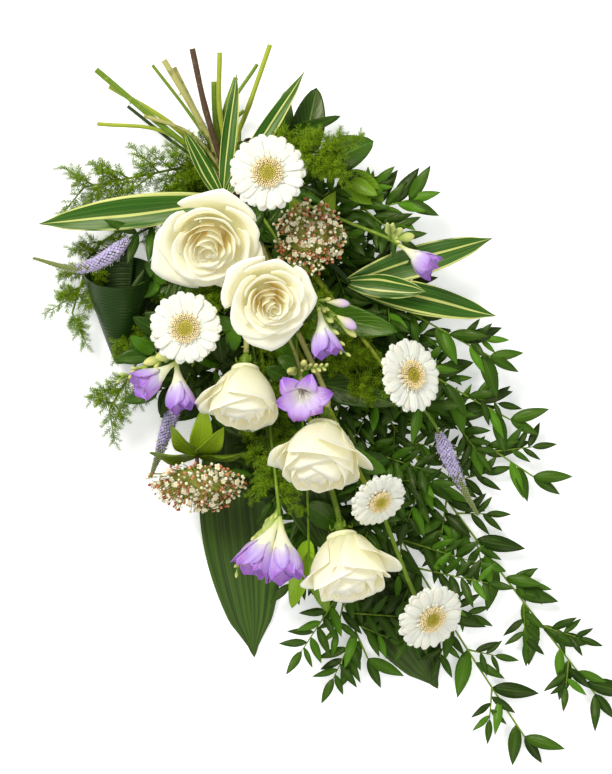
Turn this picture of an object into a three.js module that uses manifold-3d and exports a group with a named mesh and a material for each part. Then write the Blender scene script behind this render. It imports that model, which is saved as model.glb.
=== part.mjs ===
// A hand-tied flower sheaf that lies on its back on a table: white roses and gerberas, lilac freesias,
// veronica and viburnum, on ruscus, asparagus fern, dracaena, aspidistra and salal, tied with twine.
// Millimetres, +Z up. The origin is on the table, under the middle of the tie. +Y runs towards the
// cut stems and -Y towards the trailing tips.
import * as THREE from "three";
import { mergeVertices } from "three/addons/utils/BufferGeometryUtils.js";
import Module from "manifold-3d";

const wasm = await Module();
wasm.setup();

// Driving dimensions
const CLEARANCE = 0.4; // between two pieces that lie against each other
const NEAREST = 2e-3; // points nearer than this are one point
const FLATNESS = 0.2; // how far a fused piece may move where its faces are joined
const TIE_LENGTH = 14;
const TIE_ROOM = 0.9; // between the outermost stems and the twine
const TWINE = 2.4; // thickness of the twine's layer
const TIE_TURNS = 3;
const TIE_SIDES = 12;
const PRESSED = 1.6; // the twine is flat where it would be nearer than this to the table
const HEADING = -65; // degrees from +X, the way that the stems run through the tie towards the flowers
const ROSE_DEPTH = 34; // from a rose's base to where it is widest
const GERBERA_RADIUS = 38;
const VERONICA_RADIUS = 7.5;
const VIBURNUM_RADIUS = 37;
const RUSCUS_LEAF = 46;
const SHORT_CUT = 30; // how far the stems that don't show run past the tie
const BACKWARD_CUT = 3; // the same, for a stem that runs through the tie towards the cut ends
const FAN = 0.9; // how far such short stems spread, to a millimetre of their place in the tie
const LONGEST_NECK = 60; // over which a stem turns to the way that its head looks
const STRAIGHT_NECK = 12; // the last length of a stem, straight under its head
const TIE_LEAD = 2; // how far a stem runs straight on either side of the tie
const LEAD = 16; // how far a leafy stem runs straight on out of the tie

// How the stems settle
const ROOM = CLEARANCE + 0.35; // what they keep from each other while they settle
const ROUNDS = 180;
const EVENING = 0.06; // how much of a bend a stem evens out in a round
const EVENING_ROUNDS = 0.7 * ROUNDS;

// The ways that a leaf, a bud or a shoot may be turned until it lies clear
const paired = (outer, inner, name) => outer.flatMap((a) => inner.map((b) => name(a, b)));
const LEAF_TURNS = paired([0, 0.25, -0.25, 0.5, -0.5], [0, 0.2, -0.2, 0.4], (swing, raise) => ({
  swing,
  raise,
}));
const BUD_TURNS = paired([0, 8, -8, 16, -16, 24], [0, 9, -9, 18, -18], (lift, aside) => ({ lift, aside }));
const VIBURNUM_TURNS = paired([0, 12, -12, 24, -24], [0, 14, -14, 28], (dip, swing) => ({ dip, swing }));
const SHOOT_TURNS = [0, 0.6, -0.6, 1.2];
const ASPIDISTRA_RAISES = [0, 3, 6, 9, 12];
const STRIPED_RAISES = [0, 6, -6, 12, -12, 18, -18, 24, -24, 30, 36, -32];
const SALAL_RAISES = [0, 6, -6, 12, 18, -12, 24, -18, 30];

const COLOURS = {
  rose: [0xf6f1d6, 0.6],
  gerbera: [0xf9f6ea, 0.6],
  freesia: [0xa57fd6, 0.55],
  veronica: [0xa79ccf, 0.8],
  viburnum: [0xeec9b8, 0.8],
  stem: [0x6f9a2c, 0.55],
  ruscus: [0x2b5a14, 0.4],
  fern: [0x3f7a1c, 0.7],
  striped: [0x4c8a2a, 0.4],
  leaf: [0x1f4a1a, 0.4],
  twine: [0xb79a63, 0.9],
};

// Plain maths
const vector = (x, y, z) => new THREE.Vector3(x, y, z);
const radians = THREE.MathUtils.degToRad;
const UP = vector(0, 0, 1);
const GOLDEN_TURN = radians(137.5);
const along = vector(Math.cos(radians(HEADING)), Math.sin(radians(HEADING)), 0);
const across = vector(-along.y, along.x, 0);

// A repeatable draw of numbers from 0 to 1.
function dice(seed) {
  let state = seed;
  return () => {
    state = (state * 16807) % 2147483647;
    return state / 2147483647;
  };
}

// A frame at a point, with its +Z along facing and its +X as near to side as that allows.
function frameAt(point, facing, side = vector(1, 0, 0)) {
  const z = facing.clone().normalize();
  const x = side.clone().addScaledVector(z, -side.dot(z)).normalize();
  const y = z.clone().cross(x);
  return new THREE.Matrix4().makeBasis(x, y, z).setPosition(point);
}

// Points of the smooth curve that leaves start along its heading and arrives at end along its own.
function bend(start, heading, end, arriving, count, pull = 0.4) {
  const reach = start.distanceTo(end) * pull;
  const a = start.clone().addScaledVector(heading, reach);
  const b = end.clone().addScaledVector(arriving, -Math.min(reach, LONGEST_NECK));
  return new THREE.CubicBezierCurve3(start, a, b, end).getPoints(count).slice(1);
}

// Solids
function solid(geometry) {
  const bare = new THREE.BufferGeometry().setAttribute("position", geometry.getAttribute("position"));
  bare.setIndex(geometry.index);
  const merged = mergeVertices(bare, 1e-4);
  return new wasm.Manifold(
    new wasm.Mesh({
      numProp: 3,
      vertProperties: merged.attributes.position.array,
      triVerts: new Uint32Array(merged.index.array),
    }),
  );
}

// A closed skin through rings of points, counter-clockwise as seen from the last ring. A ring of one
// point is a tip. The second half of each ring is split as the mirror of the first, so that the two
// faces of a thin blade bend alike.
function skin(rings) {
  const positions = rings.flat().flatMap((p) => [p.x, p.y, p.z]);
  const index = [];
  const starts = [];
  rings.reduce((total, ring) => (starts.push(total), total + ring.length), 0);
  for (let i = 0; i + 1 < rings.length; i++) {
    const [low, high] = [rings[i].length, rings[i + 1].length];
    const sides = Math.max(low, high);
    for (let k = 0; k < sides; k++) {
      const next = (k + 1) % sides;
      const [a, b] = [starts[i] + (low > 1 ? k : 0), starts[i] + (low > 1 ? next : 0)];
      const [c, d] = [starts[i + 1] + (high > 1 ? k : 0), starts[i + 1] + (high > 1 ? next : 0)];
      if (low === 1) index.push(a, d, c);
      else if (high === 1) index.push(a, b, c);
      else if (k < sides / 2) index.push(a, b, d, a, d, c);
      else index.push(a, b, c, b, d, c);
    }
  }
  const last = rings.length - 1;
  index.push(...capOf(rings[0].length, starts[0], true), ...capOf(rings[last].length, starts[last], false));
  const geometry = new THREE.BufferGeometry();
  geometry.setAttribute("position", new THREE.Float32BufferAttribute(positions, 3));
  return geometry.setIndex(index);
}

// The triangles that close a ring: a ladder between its two halves, or a fan where it is odd.
function capOf(count, start, first) {
  const faces = [];
  for (let k = 0; k + 1 < count / 2 && count % 2 === 0; k++) {
    faces.push([k, k + 1, count - 2 - k], [k, count - 2 - k, count - 1 - k]);
  }
  for (let k = 1; k + 1 < count && count % 2 === 1; k++) faces.push([0, k, k + 1]);
  const real = faces.filter(([a, b, c]) => a !== b && b !== c && a !== c);
  return real.flatMap(([a, b, c]) => (first ? [a, c, b] : [a, b, c])).map((k) => k + start);
}

// A round skin about the frame's Z, through [radius, height] pairs. A radius of 0 is a tip.
function turned(profile, sides, matrix = new THREE.Matrix4()) {
  const rings = profile.map(([radius, height]) =>
    radius === 0
      ? [vector(0, 0, height)]
      : Array.from({ length: sides }, (_, k) => {
          const angle = (2 * Math.PI * k) / sides;
          return vector(radius * Math.cos(angle), radius * Math.sin(angle), height);
        }),
  );
  return solid(skin(rings).applyMatrix4(matrix));
}

// A stem keeps its rings at its own points, so that it stays in its place in the tie.
class Route extends THREE.CatmullRomCurve3 {
  getPointAt(t, target) {
    return this.getPoint(t, target);
  }
  getTangentAt(t, target) {
    return this.getTangent(t, target);
  }
}

function tube(points, radius, sides = 5) {
  const corners = Array.from({ length: sides }, (_, k) => {
    const angle = (2 * Math.PI * k) / sides;
    return new THREE.Vector2(radius * Math.cos(angle), radius * Math.sin(angle));
  });
  const options = { steps: points.length - 1, bevelEnabled: false, extrudePath: new Route(points) };
  return solid(new THREE.ExtrudeGeometry(new THREE.Shape(corners), options));
}

// A sheet of an even thickness, from shape(u, v), with u from -1 to 1 across and v from 0 to 1 along.
function sheet(shape, acrossSteps, alongSteps, thickness, matrix) {
  const small = 1e-3;
  const rings = [];
  for (let j = 0; j <= alongSteps; j++) {
    const [top, bottom] = [[], []];
    for (let i = 0; i <= acrossSteps; i++) {
      const [u, v] = [(2 * i) / acrossSteps - 1, j / alongSteps];
      const middle = shape(u, v);
      const du = shape(u + small, v).sub(shape(u - small, v));
      const dv = shape(u, Math.min(1, v + small)).sub(shape(u, Math.max(0, v - small)));
      const half = du.cross(dv).normalize().multiplyScalar(thickness / 2);
      top.push(middle.clone().add(half));
      bottom.unshift(middle.clone().sub(half));
    }
    rings.push([...bottom, ...top]);
  }
  return solid(skin(rings).applyMatrix4(matrix));
}

// A leaf blade in its frame: it grows along +X, its upper face looks along +Z. arch drops the tip,
// and fold lifts the edges over the midrib. A ridged blade is flat underneath.
function blade(shape, matrix) {
  const { length, width, thickness = 1.6, arch = 0.12, fold = 0.1 } = shape;
  const { stations = LANCE, ridged = false } = shape;
  const rings = stations.map(([share, wide]) => {
    const [x, z] = [share * length, -arch * length * share * share];
    if (wide === 0) return [vector(x, 0, z)];
    const half = (wide * width) / 2;
    if (ridged) return [vector(x, -half, z), vector(x, half, z), vector(x, 0, z + thickness)];
    const lift = fold * wide * width;
    return [
      vector(x, -half, z + lift),
      vector(x, 0, z - thickness / 2),
      vector(x, half, z + lift),
      vector(x, 0, z + thickness / 2),
    ];
  });
  return solid(skin(rings).applyMatrix4(matrix));
}
const LANCE = [[0, 0], [0.35, 1], [0.7, 0.72], [1, 0]];
const OVAL = [[0, 0], [0.22, 0.8], [0.5, 1], [0.8, 0.66], [1, 0]];
const STRAP = [[0, 0.2], [0.22, 0.7], [0.5, 1], [0.78, 0.66], [1, 0]];

// What has been placed, so that nothing crosses it
const placed = [];

function boxesMeet(a, b) {
  return [0, 1, 2].every((k) => a.min[k] < b.max[k] + CLEARANCE && b.min[k] < a.max[k] + CLEARANCE);
}

function isClear(piece, owner) {
  const box = piece.boundingBox();
  return placed.every(
    (other) =>
      other.owner === owner ||
      !boxesMeet(box, other.box) ||
      piece.minGap(other.piece, CLEARANCE) >= CLEARANCE * 0.98,
  );
}

function keep(piece, owner) {
  placed.push({ piece, owner, box: piece.boundingBox() });
  return piece;
}

// The first of some ways to lay a piece that crosses nothing, or null.
function bentClear(owner, ways, lay) {
  for (const way of ways) {
    const piece = lay(way);
    if (isClear(piece, owner)) return keep(piece, owner);
  }
  return null;
}

const group = new THREE.Group();
const nodes = new Map();

// A body's geometry with its nearest points merged, or null where that opens it
function closedGeometry(body) {
  const mesh = body.getMesh();
  const geometry = new THREE.BufferGeometry();
  geometry.setAttribute("position", new THREE.Float32BufferAttribute(mesh.vertProperties, 3));
  geometry.setIndex(new THREE.BufferAttribute(mesh.triVerts, 1));
  const merged = mergeVertices(geometry, NEAREST);
  const sides = new Map();
  const { array } = merged.index;
  for (let i = 0; i < array.length; i += 3) {
    const corners = [array[i], array[i + 1], array[i + 2]];
    if (new Set(corners).size < 3) continue;
    corners.forEach((from, k) => {
      const pair = [from, corners[(k + 1) % 3]].sort((a, b) => a - b).join();
      sides.set(pair, (sides.get(pair) ?? 0) + 1);
    });
  }
  return [...sides.values()].every((count) => count === 2) ? merged : null;
}

const NUDGES = [0, 0.02, 0.05];
const FLATNESS_SHARES = [1, 0.7, 0.5, 0.3, 0.1, 0];

// Fuses pieces into one closed body. Where their faces meet too finely to stay closed, its faces are
// joined less, or every other piece is moved a hair.
function fused(name, pieces) {
  for (const nudge of NUDGES) {
    const moved = pieces.map((piece, k) => piece.translate(0, 0, nudge * (k % 2)));
    const bodies = wasm.Manifold.union(moved).decompose();
    bodies.sort((a, b) => b.volume() - a.volume());
    const plain = bodies[0].asOriginal();
    for (const share of FLATNESS_SHARES) {
      const geometry = closedGeometry(plain.simplify(FLATNESS * share));
      if (geometry) return geometry;
    }
  }
  throw new Error(`${name} isn't closed`);
}

function fuse(name, pieces, look) {
  const geometry = fused(name, pieces.filter(Boolean));
  geometry.computeVertexNormals();
  const [color, roughness] = COLOURS[look];
  const made = new THREE.Mesh(geometry, new THREE.MeshStandardMaterial({ color, roughness }));
  made.name = name;
  nodes.set(name, made);
}

// Where each stem's head or tip is, and the way that it arrives there
const ROSES = [
  { base: vector(-13, -55, 82), facing: vector(-0.06, -0.46, 0.88), size: 1.14, spin: 20 },
  { base: vector(36, -119, 121), facing: vector(0.15, -0.3, 0.94), size: 0.92, spin: 75 },
  { base: vector(17, -193, 82), facing: vector(-0.03, -0.9, 0.42), size: 0.94, spin: 12, cupped: true },
  { base: vector(96, -248, 88), facing: vector(-0.12, -0.9, 0.42), size: 1.04, spin: 48, cupped: true },
  { base: vector(112, -359, 68), facing: vector(0.16, -0.9, 0.42), size: 1.03, spin: 0, cupped: true },
];
const GERBERAS = [
  { face: vector(40, -9, 162), facing: vector(0.02, -0.05, 1), size: 1 },
  { face: vector(-41, -157, 112), facing: vector(-0.05, -0.08, 1), size: 0.97 },
  { face: vector(179, -204, 100), facing: vector(0.6, 0.15, 0.78), size: 1 },
  { face: vector(148, -326, 98), facing: vector(0.45, -0.5, 0.75), size: 0.82 },
  { face: vector(201, -445, 62), facing: vector(0.42, -0.4, 0.82), size: 0.97 },
];
// Each freesia spray has its open blooms on one base, and its row of buds.
const FREESIAS = [
  {
    base: vector(170, -75, 88),
    arriving: vector(0.8, -0.5, 0.2),
    facings: [vector(0.78, -0.55, 0.3)],
    size: 0.95,
    buds: [vector(184, -66, 96), vector(172, -58, 94), vector(160, -60, 92)],
  },
  {
    base: vector(90, -139, 119),
    arriving: vector(0.5, -0.8, 0.2),
    facings: [vector(0.16, -0.95, 0.2)],
    size: 1.05,
    buds: [vector(126, -158, 126), vector(120, -134, 116), vector(110, -174, 118)],
  },
  {
    base: vector(72, -207, 96),
    arriving: vector(0.1, -0.8, 0.5),
    facings: [vector(0.05, -0.5, 0.86)],
    size: 1.1,
    buds: [vector(60, -200, 130), vector(76, -190, 132), vector(92, -196, 124)],
  },
  {
    base: vector(-52, -190, 78),
    arriving: vector(-0.3, -0.9, 0.2),
    facings: [vector(-0.74, -0.55, 0.35), vector(0.12, -0.95, 0.2)],
    size: 1.1,
    buds: [vector(-72, -186, 88), vector(-84, -192, 86), vector(-98, -202, 80)],
  },
  {
    base: vector(51, -345, 84),
    arriving: vector(0.1, -0.95, 0.1),
    facings: [vector(0.1, -0.95, 0.3), vector(-0.5, -0.84, 0.25)],
    size: 1.4,
    buds: [vector(36, -366, 80), vector(24, -376, 78), vector(14, -388, 74)],
  },
];
const VERONICAS = [
  { spike: [vector(-100, -68, 66), vector(-124, -88, 76), vector(-150, -97, 72), vector(-196, -86, 58)] },
  { spike: [vector(-50, -226, 52), vector(-62, -254, 48), vector(-71, -282, 42), vector(-80, -306, 36)] },
  { spike: [vector(209, -260, 62), vector(220, -286, 58), vector(232, -312, 52), vector(250, -344, 44)] },
];
// A viburnum's leaves stand round its stem's end: each has its turn, and how far it leans back, in degrees.
const VIBURNUMS = [
  {
    face: vector(83, -66, 106),
    facing: vector(0.12, 0.05, 1),
    size: 1,
    florets: 30,
    collar: 5,
    leaves: [[60, -6], [110, 1], [20, 8]],
  },
  {
    face: vector(-32, -330, 71),
    facing: vector(0, -0.93, 0.37),
    size: 1.35,
    florets: 26,
    collar: 15,
    leaves: [[8, -10], [172, -12], [60, 0], [125, 10], [92, 30]],
  },
];

// Foliage on long stems: the stem's points past the tie, and the leaves along it
const RUSCUS = [
  {
    route: [vector(60, -50, 34), vector(116, -56, 50), vector(160, -40, 58), vector(180, -28, 60)],
    leaves: 10,
  },
  {
    route: [vector(70, -80, 30), vector(150, -128, 40), vector(210, -160, 44), vector(262, -184, 42)],
    leaves: 10,
  },
  {
    route: [vector(70, -110, 26), vector(170, -210, 32), vector(234, -238, 30), vector(284, -248, 26)],
    leaves: 10,
  },
  {
    route: [vector(70, -130, 20), vector(190, -256, 22), vector(256, -280, 20), vector(308, -306, 16)],
    leaves: 10,
  },
  {
    route: [
      vector(70, -150, 14), vector(200, -300, 16), vector(262, -396, 14), vector(318, -470, 12),
      vector(372, -528, 9),
    ],
    leaves: 15,
  },
  {
    route: [vector(60, -160, 12), vector(170, -400, 12), vector(228, -500, 10), vector(300, -572, 7)],
    leaves: 10,
  },
  {
    route: [vector(40, -170, 10), vector(70, -380, 12), vector(96, -450, 12), vector(140, -492, 10)],
    leaves: 10,
  },
];
// A fern plume's stem, and how many twigs it has
const FERNS = [
  { route: [vector(-40, 6, 58), vector(-90, -4, 56), vector(-146, -14, 46)], twigs: 5 },
  {
    route: [vector(-60, -40, 44), vector(-120, -66, 36), vector(-168, -104, 30), vector(-160, -140, 26)],
    twigs: 5,
  },
  { route: [vector(-40, -80, 36), vector(-90, -180, 34), vector(-122, -238, 30)], twigs: 5 },
  { route: [vector(-20, -70, 44), vector(-14, -110, 60), vector(-8, -122, 74)], twigs: 4 },
  { route: [vector(20, -120, 50), vector(36, -240, 62), vector(48, -320, 66)], twigs: 5 },
  { route: [vector(60, -100, 54), vector(110, -170, 70), vector(140, -216, 70)], twigs: 5 },
  { route: [vector(50, 20, 70), vector(84, 22, 84), vector(104, 14, 90)], twigs: 5 },
];
// Large leaves on bare stalks: where the blade starts, where its tip is, and its width
const ASPIDISTRAS = [
  { from: vector(0, -230, 6), tip: vector(24, -492, 1), width: 84 },
  { from: vector(60, -270, 44), tip: vector(104, -386, 34), width: 52 },
  { from: vector(120, -360, 8), tip: vector(212, -524, 1), width: 76 },
];
const STRIPED = [
  {
    end: vector(-6, -30, 74),
    arriving: vector(0.1, -0.6, 0.6),
    leaves: [
      { tip: vector(-192, -52, 62), width: 34 },
      { tip: vector(8, 98, 72), width: 16 },
      { tip: vector(-44, 40, 84), width: 16 },
      { tip: vector(76, 100, 74), width: 18 },
    ],
  },
  {
    end: vector(120, -110, 50),
    arriving: vector(0.5, -0.6, 0.2),
    leaves: [
      { tip: vector(264, -66, 62), width: 32 },
      { tip: vector(268, -144, 58), width: 32 },
      { tip: vector(196, -120, 76), width: 24 },
    ],
  },
];
const SALALS = [
  {
    route: [vector(40, 26, 50), vector(70, 40, 56), vector(96, 30, 60), vector(120, -8, 62)],
    leaves: [
      { share: 0.6, tip: vector(88, 88, 52), width: 34 },
      { share: 0.75, tip: vector(146, 32, 60), width: 36 },
      { share: 0.7, tip: vector(116, -2, 72), width: 26 },
      { share: 0.95, tip: vector(156, -30, 62), width: 32 },
      { share: 0.45, tip: vector(56, 84, 50), width: 20 },
      { share: 0.3, tip: vector(110, 54, 84), width: 16 },
    ],
  },
  {
    route: [
      vector(50, -100, 44), vector(100, -190, 58), vector(104, -270, 54), vector(84, -350, 50),
      vector(80, -390, 50),
    ],
    leaves: [
      { share: 0.36, tip: vector(168, -160, 70), width: 34 },
      { share: 0.46, tip: vector(46, -176, 66), width: 30 },
      { share: 0.54, tip: vector(168, -232, 72), width: 30 },
      { share: 0.62, tip: vector(54, -236, 60), width: 30 },
      { share: 0.7, tip: vector(158, -300, 58), width: 30 },
      { share: 0.78, tip: vector(24, -306, 56), width: 28 },
      { share: 0.86, tip: vector(120, -360, 46), width: 26 },
      { share: 0.95, tip: vector(62, -440, 50), width: 22 },
      { share: 0.98, tip: vector(100, -446, 40), width: 20 },
    ],
  },
];

// The bundle in the tie: rows from the table up, each from left to right as the flowers look at it,
// with each stem's radius and, where its cut end shows, where that is.
const ROWS = [
  [["cone", 2], ["aspidistra_1", 2], ["aspidistra_2", 2], ["aspidistra_3", 2]],
  [
    ["ruscus_7", 1.6], ["ruscus_6", 1.6], ["ruscus_5", 1.6], ["ruscus_4", 1.6], ["ruscus_3", 1.6],
    ["ruscus_2", 1.6], ["ruscus_1", 1.6],
  ],
  [
    ["asparagus_2", 1.6], ["asparagus_3", 1.6], ["asparagus_5", 1.6], ["asparagus_6", 1.6],
    ["salal_2", 2], ["dracaena_2", 2.8], ["viburnum_1", 2.2],
  ],
  [
    ["veronica_1", 1.7, vector(-104, 70, 22)], ["dracaena_1", 2.8], ["asparagus_4", 1.6],
    ["veronica_2", 1.7, vector(-79, 112, 20)], ["viburnum_2", 2.2, vector(0, 82, 20)],
    ["freesia_5", 1.9, vector(14, 66, 20)], ["veronica_3", 1.7], ["freesia_1", 1.9],
  ],
  [
    ["asparagus_1", 1.6], ["freesia_4", 2, vector(-134, 51, 34)], ["gerbera_2", 2.5, vector(-122, 89, 32)],
    ["rose_3", 3, vector(-57, 108, 30)], ["rose_5", 3, vector(-16, 94, 30)],
    ["gerbera_5", 2.5, vector(6, 98, 30)], ["gerbera_3", 2.5], ["salal_1", 2],
  ],
  [
    ["rose_1", 3, vector(-134, 104, 48)], ["freesia_3", 1.9, vector(-86, 58, 46)],
    ["rose_4", 3, vector(-66, 114, 44)], ["gerbera_4", 2.5, vector(-10, 122, 42)],
    ["freesia_2", 1.9, vector(28, 110, 44)], ["asparagus_7", 1.6],
  ],
  [["rose_2", 3, vector(-37, 124, 56)], ["gerbera_1", 2.5, vector(41, 128, 56)]],
];
const BACKWARD = ["asparagus_1", "asparagus_7", "salal_1"];

// Packs the rows side by side and gives each stem its place across and above the table.
function packBundle() {
  const slots = new Map();
  let floor = TWINE + TIE_ROOM;
  for (const row of ROWS) {
    const tallest = Math.max(...row.map(([, radius]) => radius));
    const width = row.reduce((sum, [, radius]) => sum + 2 * radius + CLEARANCE, -CLEARANCE);
    let left = -width / 2;
    for (const [name, radius, cut] of row) {
      slots.set(name, { offset: left + radius, height: floor + tallest, radius, cut });
      left += 2 * radius + CLEARANCE;
    }
    floor += 2 * tallest + CLEARANCE;
  }
  return slots;
}
const slots = packBundle();

// The two points where a stem enters and leaves the tie, with the cut end's side first
function throughTie(name) {
  const { offset, height } = slots.get(name);
  const middle = across.clone().multiplyScalar(offset).setZ(height);
  const half = TIE_LENGTH / 2 + TIE_LEAD;
  const ends = [-half, half].map((reach) => middle.clone().addScaledVector(along, reach));
  return BACKWARD.includes(name) ? ends.reverse() : ends;
}

// The stem's points from its cut end to where it leaves the tie
function cutSide(name) {
  const { offset, cut } = slots.get(name);
  const [entry, exit] = throughTie(name);
  const away = entry.clone().sub(exit).normalize();
  const spread = BACKWARD.includes(name) ? 0 : offset * FAN;
  const reach = BACKWARD.includes(name) ? BACKWARD_CUT : SHORT_CUT;
  const short = entry.clone().addScaledVector(away, reach).addScaledVector(across, spread);
  const end = cut ?? short;
  const tail = bend(entry, away, end, end.clone().sub(entry).normalize(), cut ? 2 : 1, 0.3);
  return { away: away.negate(), points: [...tail.reverse(), entry, exit] };
}

// Every stem as a line of points with a radius. A firm point stays where it is.
const stems = new Map();

function layStem(name, far, firmEnd, firmLead = 0) {
  const { points } = cutSide(name);
  const all = [...points, ...far];
  const inTie = points.length - 2;
  const held = (i) => i === 0 || (i >= inTie && i <= inTie + 1 + firmLead) || i >= all.length - firmEnd;
  const firm = all.map((_, i) => held(i));
  stems.set(name, { name, points: all, firm, radius: slots.get(name).radius });
}

function layTo(name, end, arriving, { count = 5, pull = 0.4 } = {}) {
  const { away, points } = cutSide(name);
  const direction = arriving.clone().normalize();
  const before = end.clone().addScaledVector(direction, -STRAIGHT_NECK);
  const exit = points[points.length - 1];
  layStem(name, [...bend(exit, away, before, direction, count - 1, pull), end], 2);
}

function layThrough(name, route, count = 7) {
  const { away, points } = cutSide(name);
  const aside = BACKWARD.includes(name) ? slots.get(name).offset * 0.6 : 0;
  const lead = points[points.length - 1].clone().addScaledVector(away, LEAD).addScaledVector(across, aside);
  const curve = new THREE.CatmullRomCurve3([lead, ...route]);
  layStem(name, [lead, ...curve.getPoints(count).slice(1)], 0, 1);
}

// How far along each of two straight lengths they come nearest, from 0 to 1
function nearest(a, b, c, d) {
  const [u, v, w] = [b.clone().sub(a), d.clone().sub(c), a.clone().sub(c)];
  const [uu, uv, vv, uw, vw] = [u.dot(u), u.dot(v), v.dot(v), u.dot(w), v.dot(w)];
  const clamp = (x) => Math.min(1, Math.max(0, x));
  const flat = uu * vv - uv * uv;
  let s = flat < 1e-9 ? 0.5 : clamp((uv * vw - vv * uw) / flat);
  const t = clamp((uv * s + vw) / vv);
  s = clamp((uv * t - uw) / uu);
  return [s, t];
}

// Where two stems, or a stem and a head, come too close, both give way. Then each stem evens out.
const blocks = [];

const canMove = (line, i) => Boolean(line.firm) && !(line.firm[i] && line.firm[i + 1]);

function giveWay(line, i, share, push) {
  if (!canMove(line, i)) return;
  const [low, high] = [line.firm[i] ? 0 : 1 - share, line.firm[i + 1] ? 0 : share];
  const whole = Math.max(0.25, low * low + high * high);
  line.points[i].addScaledVector(push, low / whole);
  line.points[i + 1].addScaledVector(push, high / whole);
}

function keepApart(one, other) {
  for (let i = 0; i + 1 < one.points.length; i++) {
    for (let j = 0; j + 1 < other.points.length; j++) {
      const [a, b] = [one.points[i], one.points[i + 1]];
      const [c, d] = [other.points[j], other.points[j + 1]];
      const widest = one.radius + Math.max(other.radius, other.endRadius ?? 0) + ROOM;
      const reach = (a.distanceTo(b) + c.distanceTo(d)) / 2 + widest;
      const off = Math.abs(a.x + b.x - c.x - d.x) + Math.abs(a.y + b.y - c.y - d.y);
      if (off / 2 > 1.5 * reach) continue;
      const [s, t] = nearest(a, b, c, d);
      const between = a.clone().lerp(b, s).sub(c.clone().lerp(d, t));
      const distance = between.length();
      const girth = other.endRadius ? other.radius + (other.endRadius - other.radius) * t : other.radius;
      const missing = one.radius + girth + ROOM - distance;
      if (missing <= 0) continue;
      const way = distance > 0.05 ? between.divideScalar(distance) : UP.clone();
      const part = canMove(one, i) && canMove(other, j) ? 0.5 : 1;
      giveWay(one, i, s, way.clone().multiplyScalar(missing * part));
      giveWay(other, j, t, way.clone().multiplyScalar(-missing * part));
    }
  }
}

function settleStems() {
  const all = [...stems.values()];
  for (let round = 0; round < ROUNDS; round++) {
    all.forEach((one, i) => {
      all.slice(i + 1).forEach((other) => keepApart(one, other));
      blocks.forEach((block) => block.owner !== one.name && keepApart(one, block));
      one.points.forEach((p, k) => {
        p.z = Math.max(p.z, one.radius);
        if (one.firm[k] || k + 1 === one.points.length || round > EVENING_ROUNDS) return;
        p.lerp(one.points[k - 1].clone().add(one.points[k + 1]).multiplyScalar(0.5), EVENING);
      });
    });
  }
}

function stemOf(name) {
  const { points, radius } = stems.get(name);
  const sides = radius > 2 ? 4 : 3;
  return keep(tube(points, radius, sides), name);
}

// A point part of the way along a stem's straight lengths, and the way that it runs there
function partWay(points, share) {
  const lengths = points.slice(1).map((p, i) => p.distanceTo(points[i]));
  let rest = share * lengths.reduce((sum, length) => sum + length, 0);
  let i = 0;
  while (i + 1 < lengths.length && rest > lengths[i]) rest -= lengths[i++];
  const tangent = points[i + 1].clone().sub(points[i]).normalize();
  return { point: points[i].clone().addScaledVector(tangent, rest), tangent };
}

// The tie: the twine's turns round the bundle, pressed flat where they lie on the table
function makeTie() {
  const circles = [...slots.values()];
  const outline = (extra) =>
    Array.from({ length: TIE_SIDES }, (_, k) => {
      const angle = (2 * Math.PI * (k + 0.5)) / TIE_SIDES;
      const [x, y] = [Math.cos(angle), Math.sin(angle)];
      const reach = ({ offset, height, radius }) => offset * x + height * y + radius;
      const outer = circles.reduce((best, c) => (reach(c) > reach(best) ? c : best));
      const reached = outer.radius + extra;
      const [side, up] = [outer.offset + x * reached, outer.height + y * reached];
      return [side, up < PRESSED ? 0 : up];
    });
  const ringAt = (reach, extra) =>
    outline(extra).map(([side, up]) =>
      across.clone().multiplyScalar(side).setZ(up).addScaledVector(along, reach),
    );
  const half = TIE_LENGTH / 2;
  const crests = Array.from({ length: 2 * TIE_TURNS + 1 }, (_, k) => {
    const groove = k % 2 === 0 ? 0.8 : 0;
    return ringAt(-half + (k * TIE_LENGTH) / (2 * TIE_TURNS), TIE_ROOM + TWINE - groove);
  });
  const outside = solid(skin(crests));
  const inside = solid(skin([ringAt(-half - 1, TIE_ROOM), ringAt(half + 1, TIE_ROOM)]));
  return outside.subtract(inside);
}

// Rose: petals in rings round a bud. Every petal grows out of the base at the frame's origin.
const OPEN_ROSE = [
  { count: 3, from: 9, radius: 18, height: 46, spread: 57, curl: 1, turn: 0, steps: 2, close: 1 },
  { count: 3, from: 12.3, radius: 31, height: 43, spread: 57, curl: 5, turn: 60, steps: 2, close: 1 },
  { count: 5, from: 15.5, radius: 45, height: 35, spread: 34, curl: 8, turn: 10, steps: 3, close: 1 },
];
const CUPPED_ROSE = [
  { count: 3, from: 9, radius: 24, height: 61, spread: 57, curl: 0, turn: 0, steps: 3, close: 1.4 },
  { count: 3, from: 12.3, radius: 31, height: 54, spread: 56, curl: 4, turn: 60, steps: 3, close: 1.12 },
  { count: 4, from: 15.5, radius: 38, height: 43, spread: 40, curl: 8, turn: 10, steps: 3, close: 1 },
];
const ROSE_BASE = [[7, 0], [18, 5.5], [18, 8]];
const ROSE_BUD = [[5.5, 8], [9, 24], [6, 44]];
const PETAL = 1.2; // thickness
const ROSE_FOOT = 7.4; // the height that the petals start from, just inside the base
const ROSE_TUCK = 1.3; // how far one edge of a petal lies outside the next one's

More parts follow.
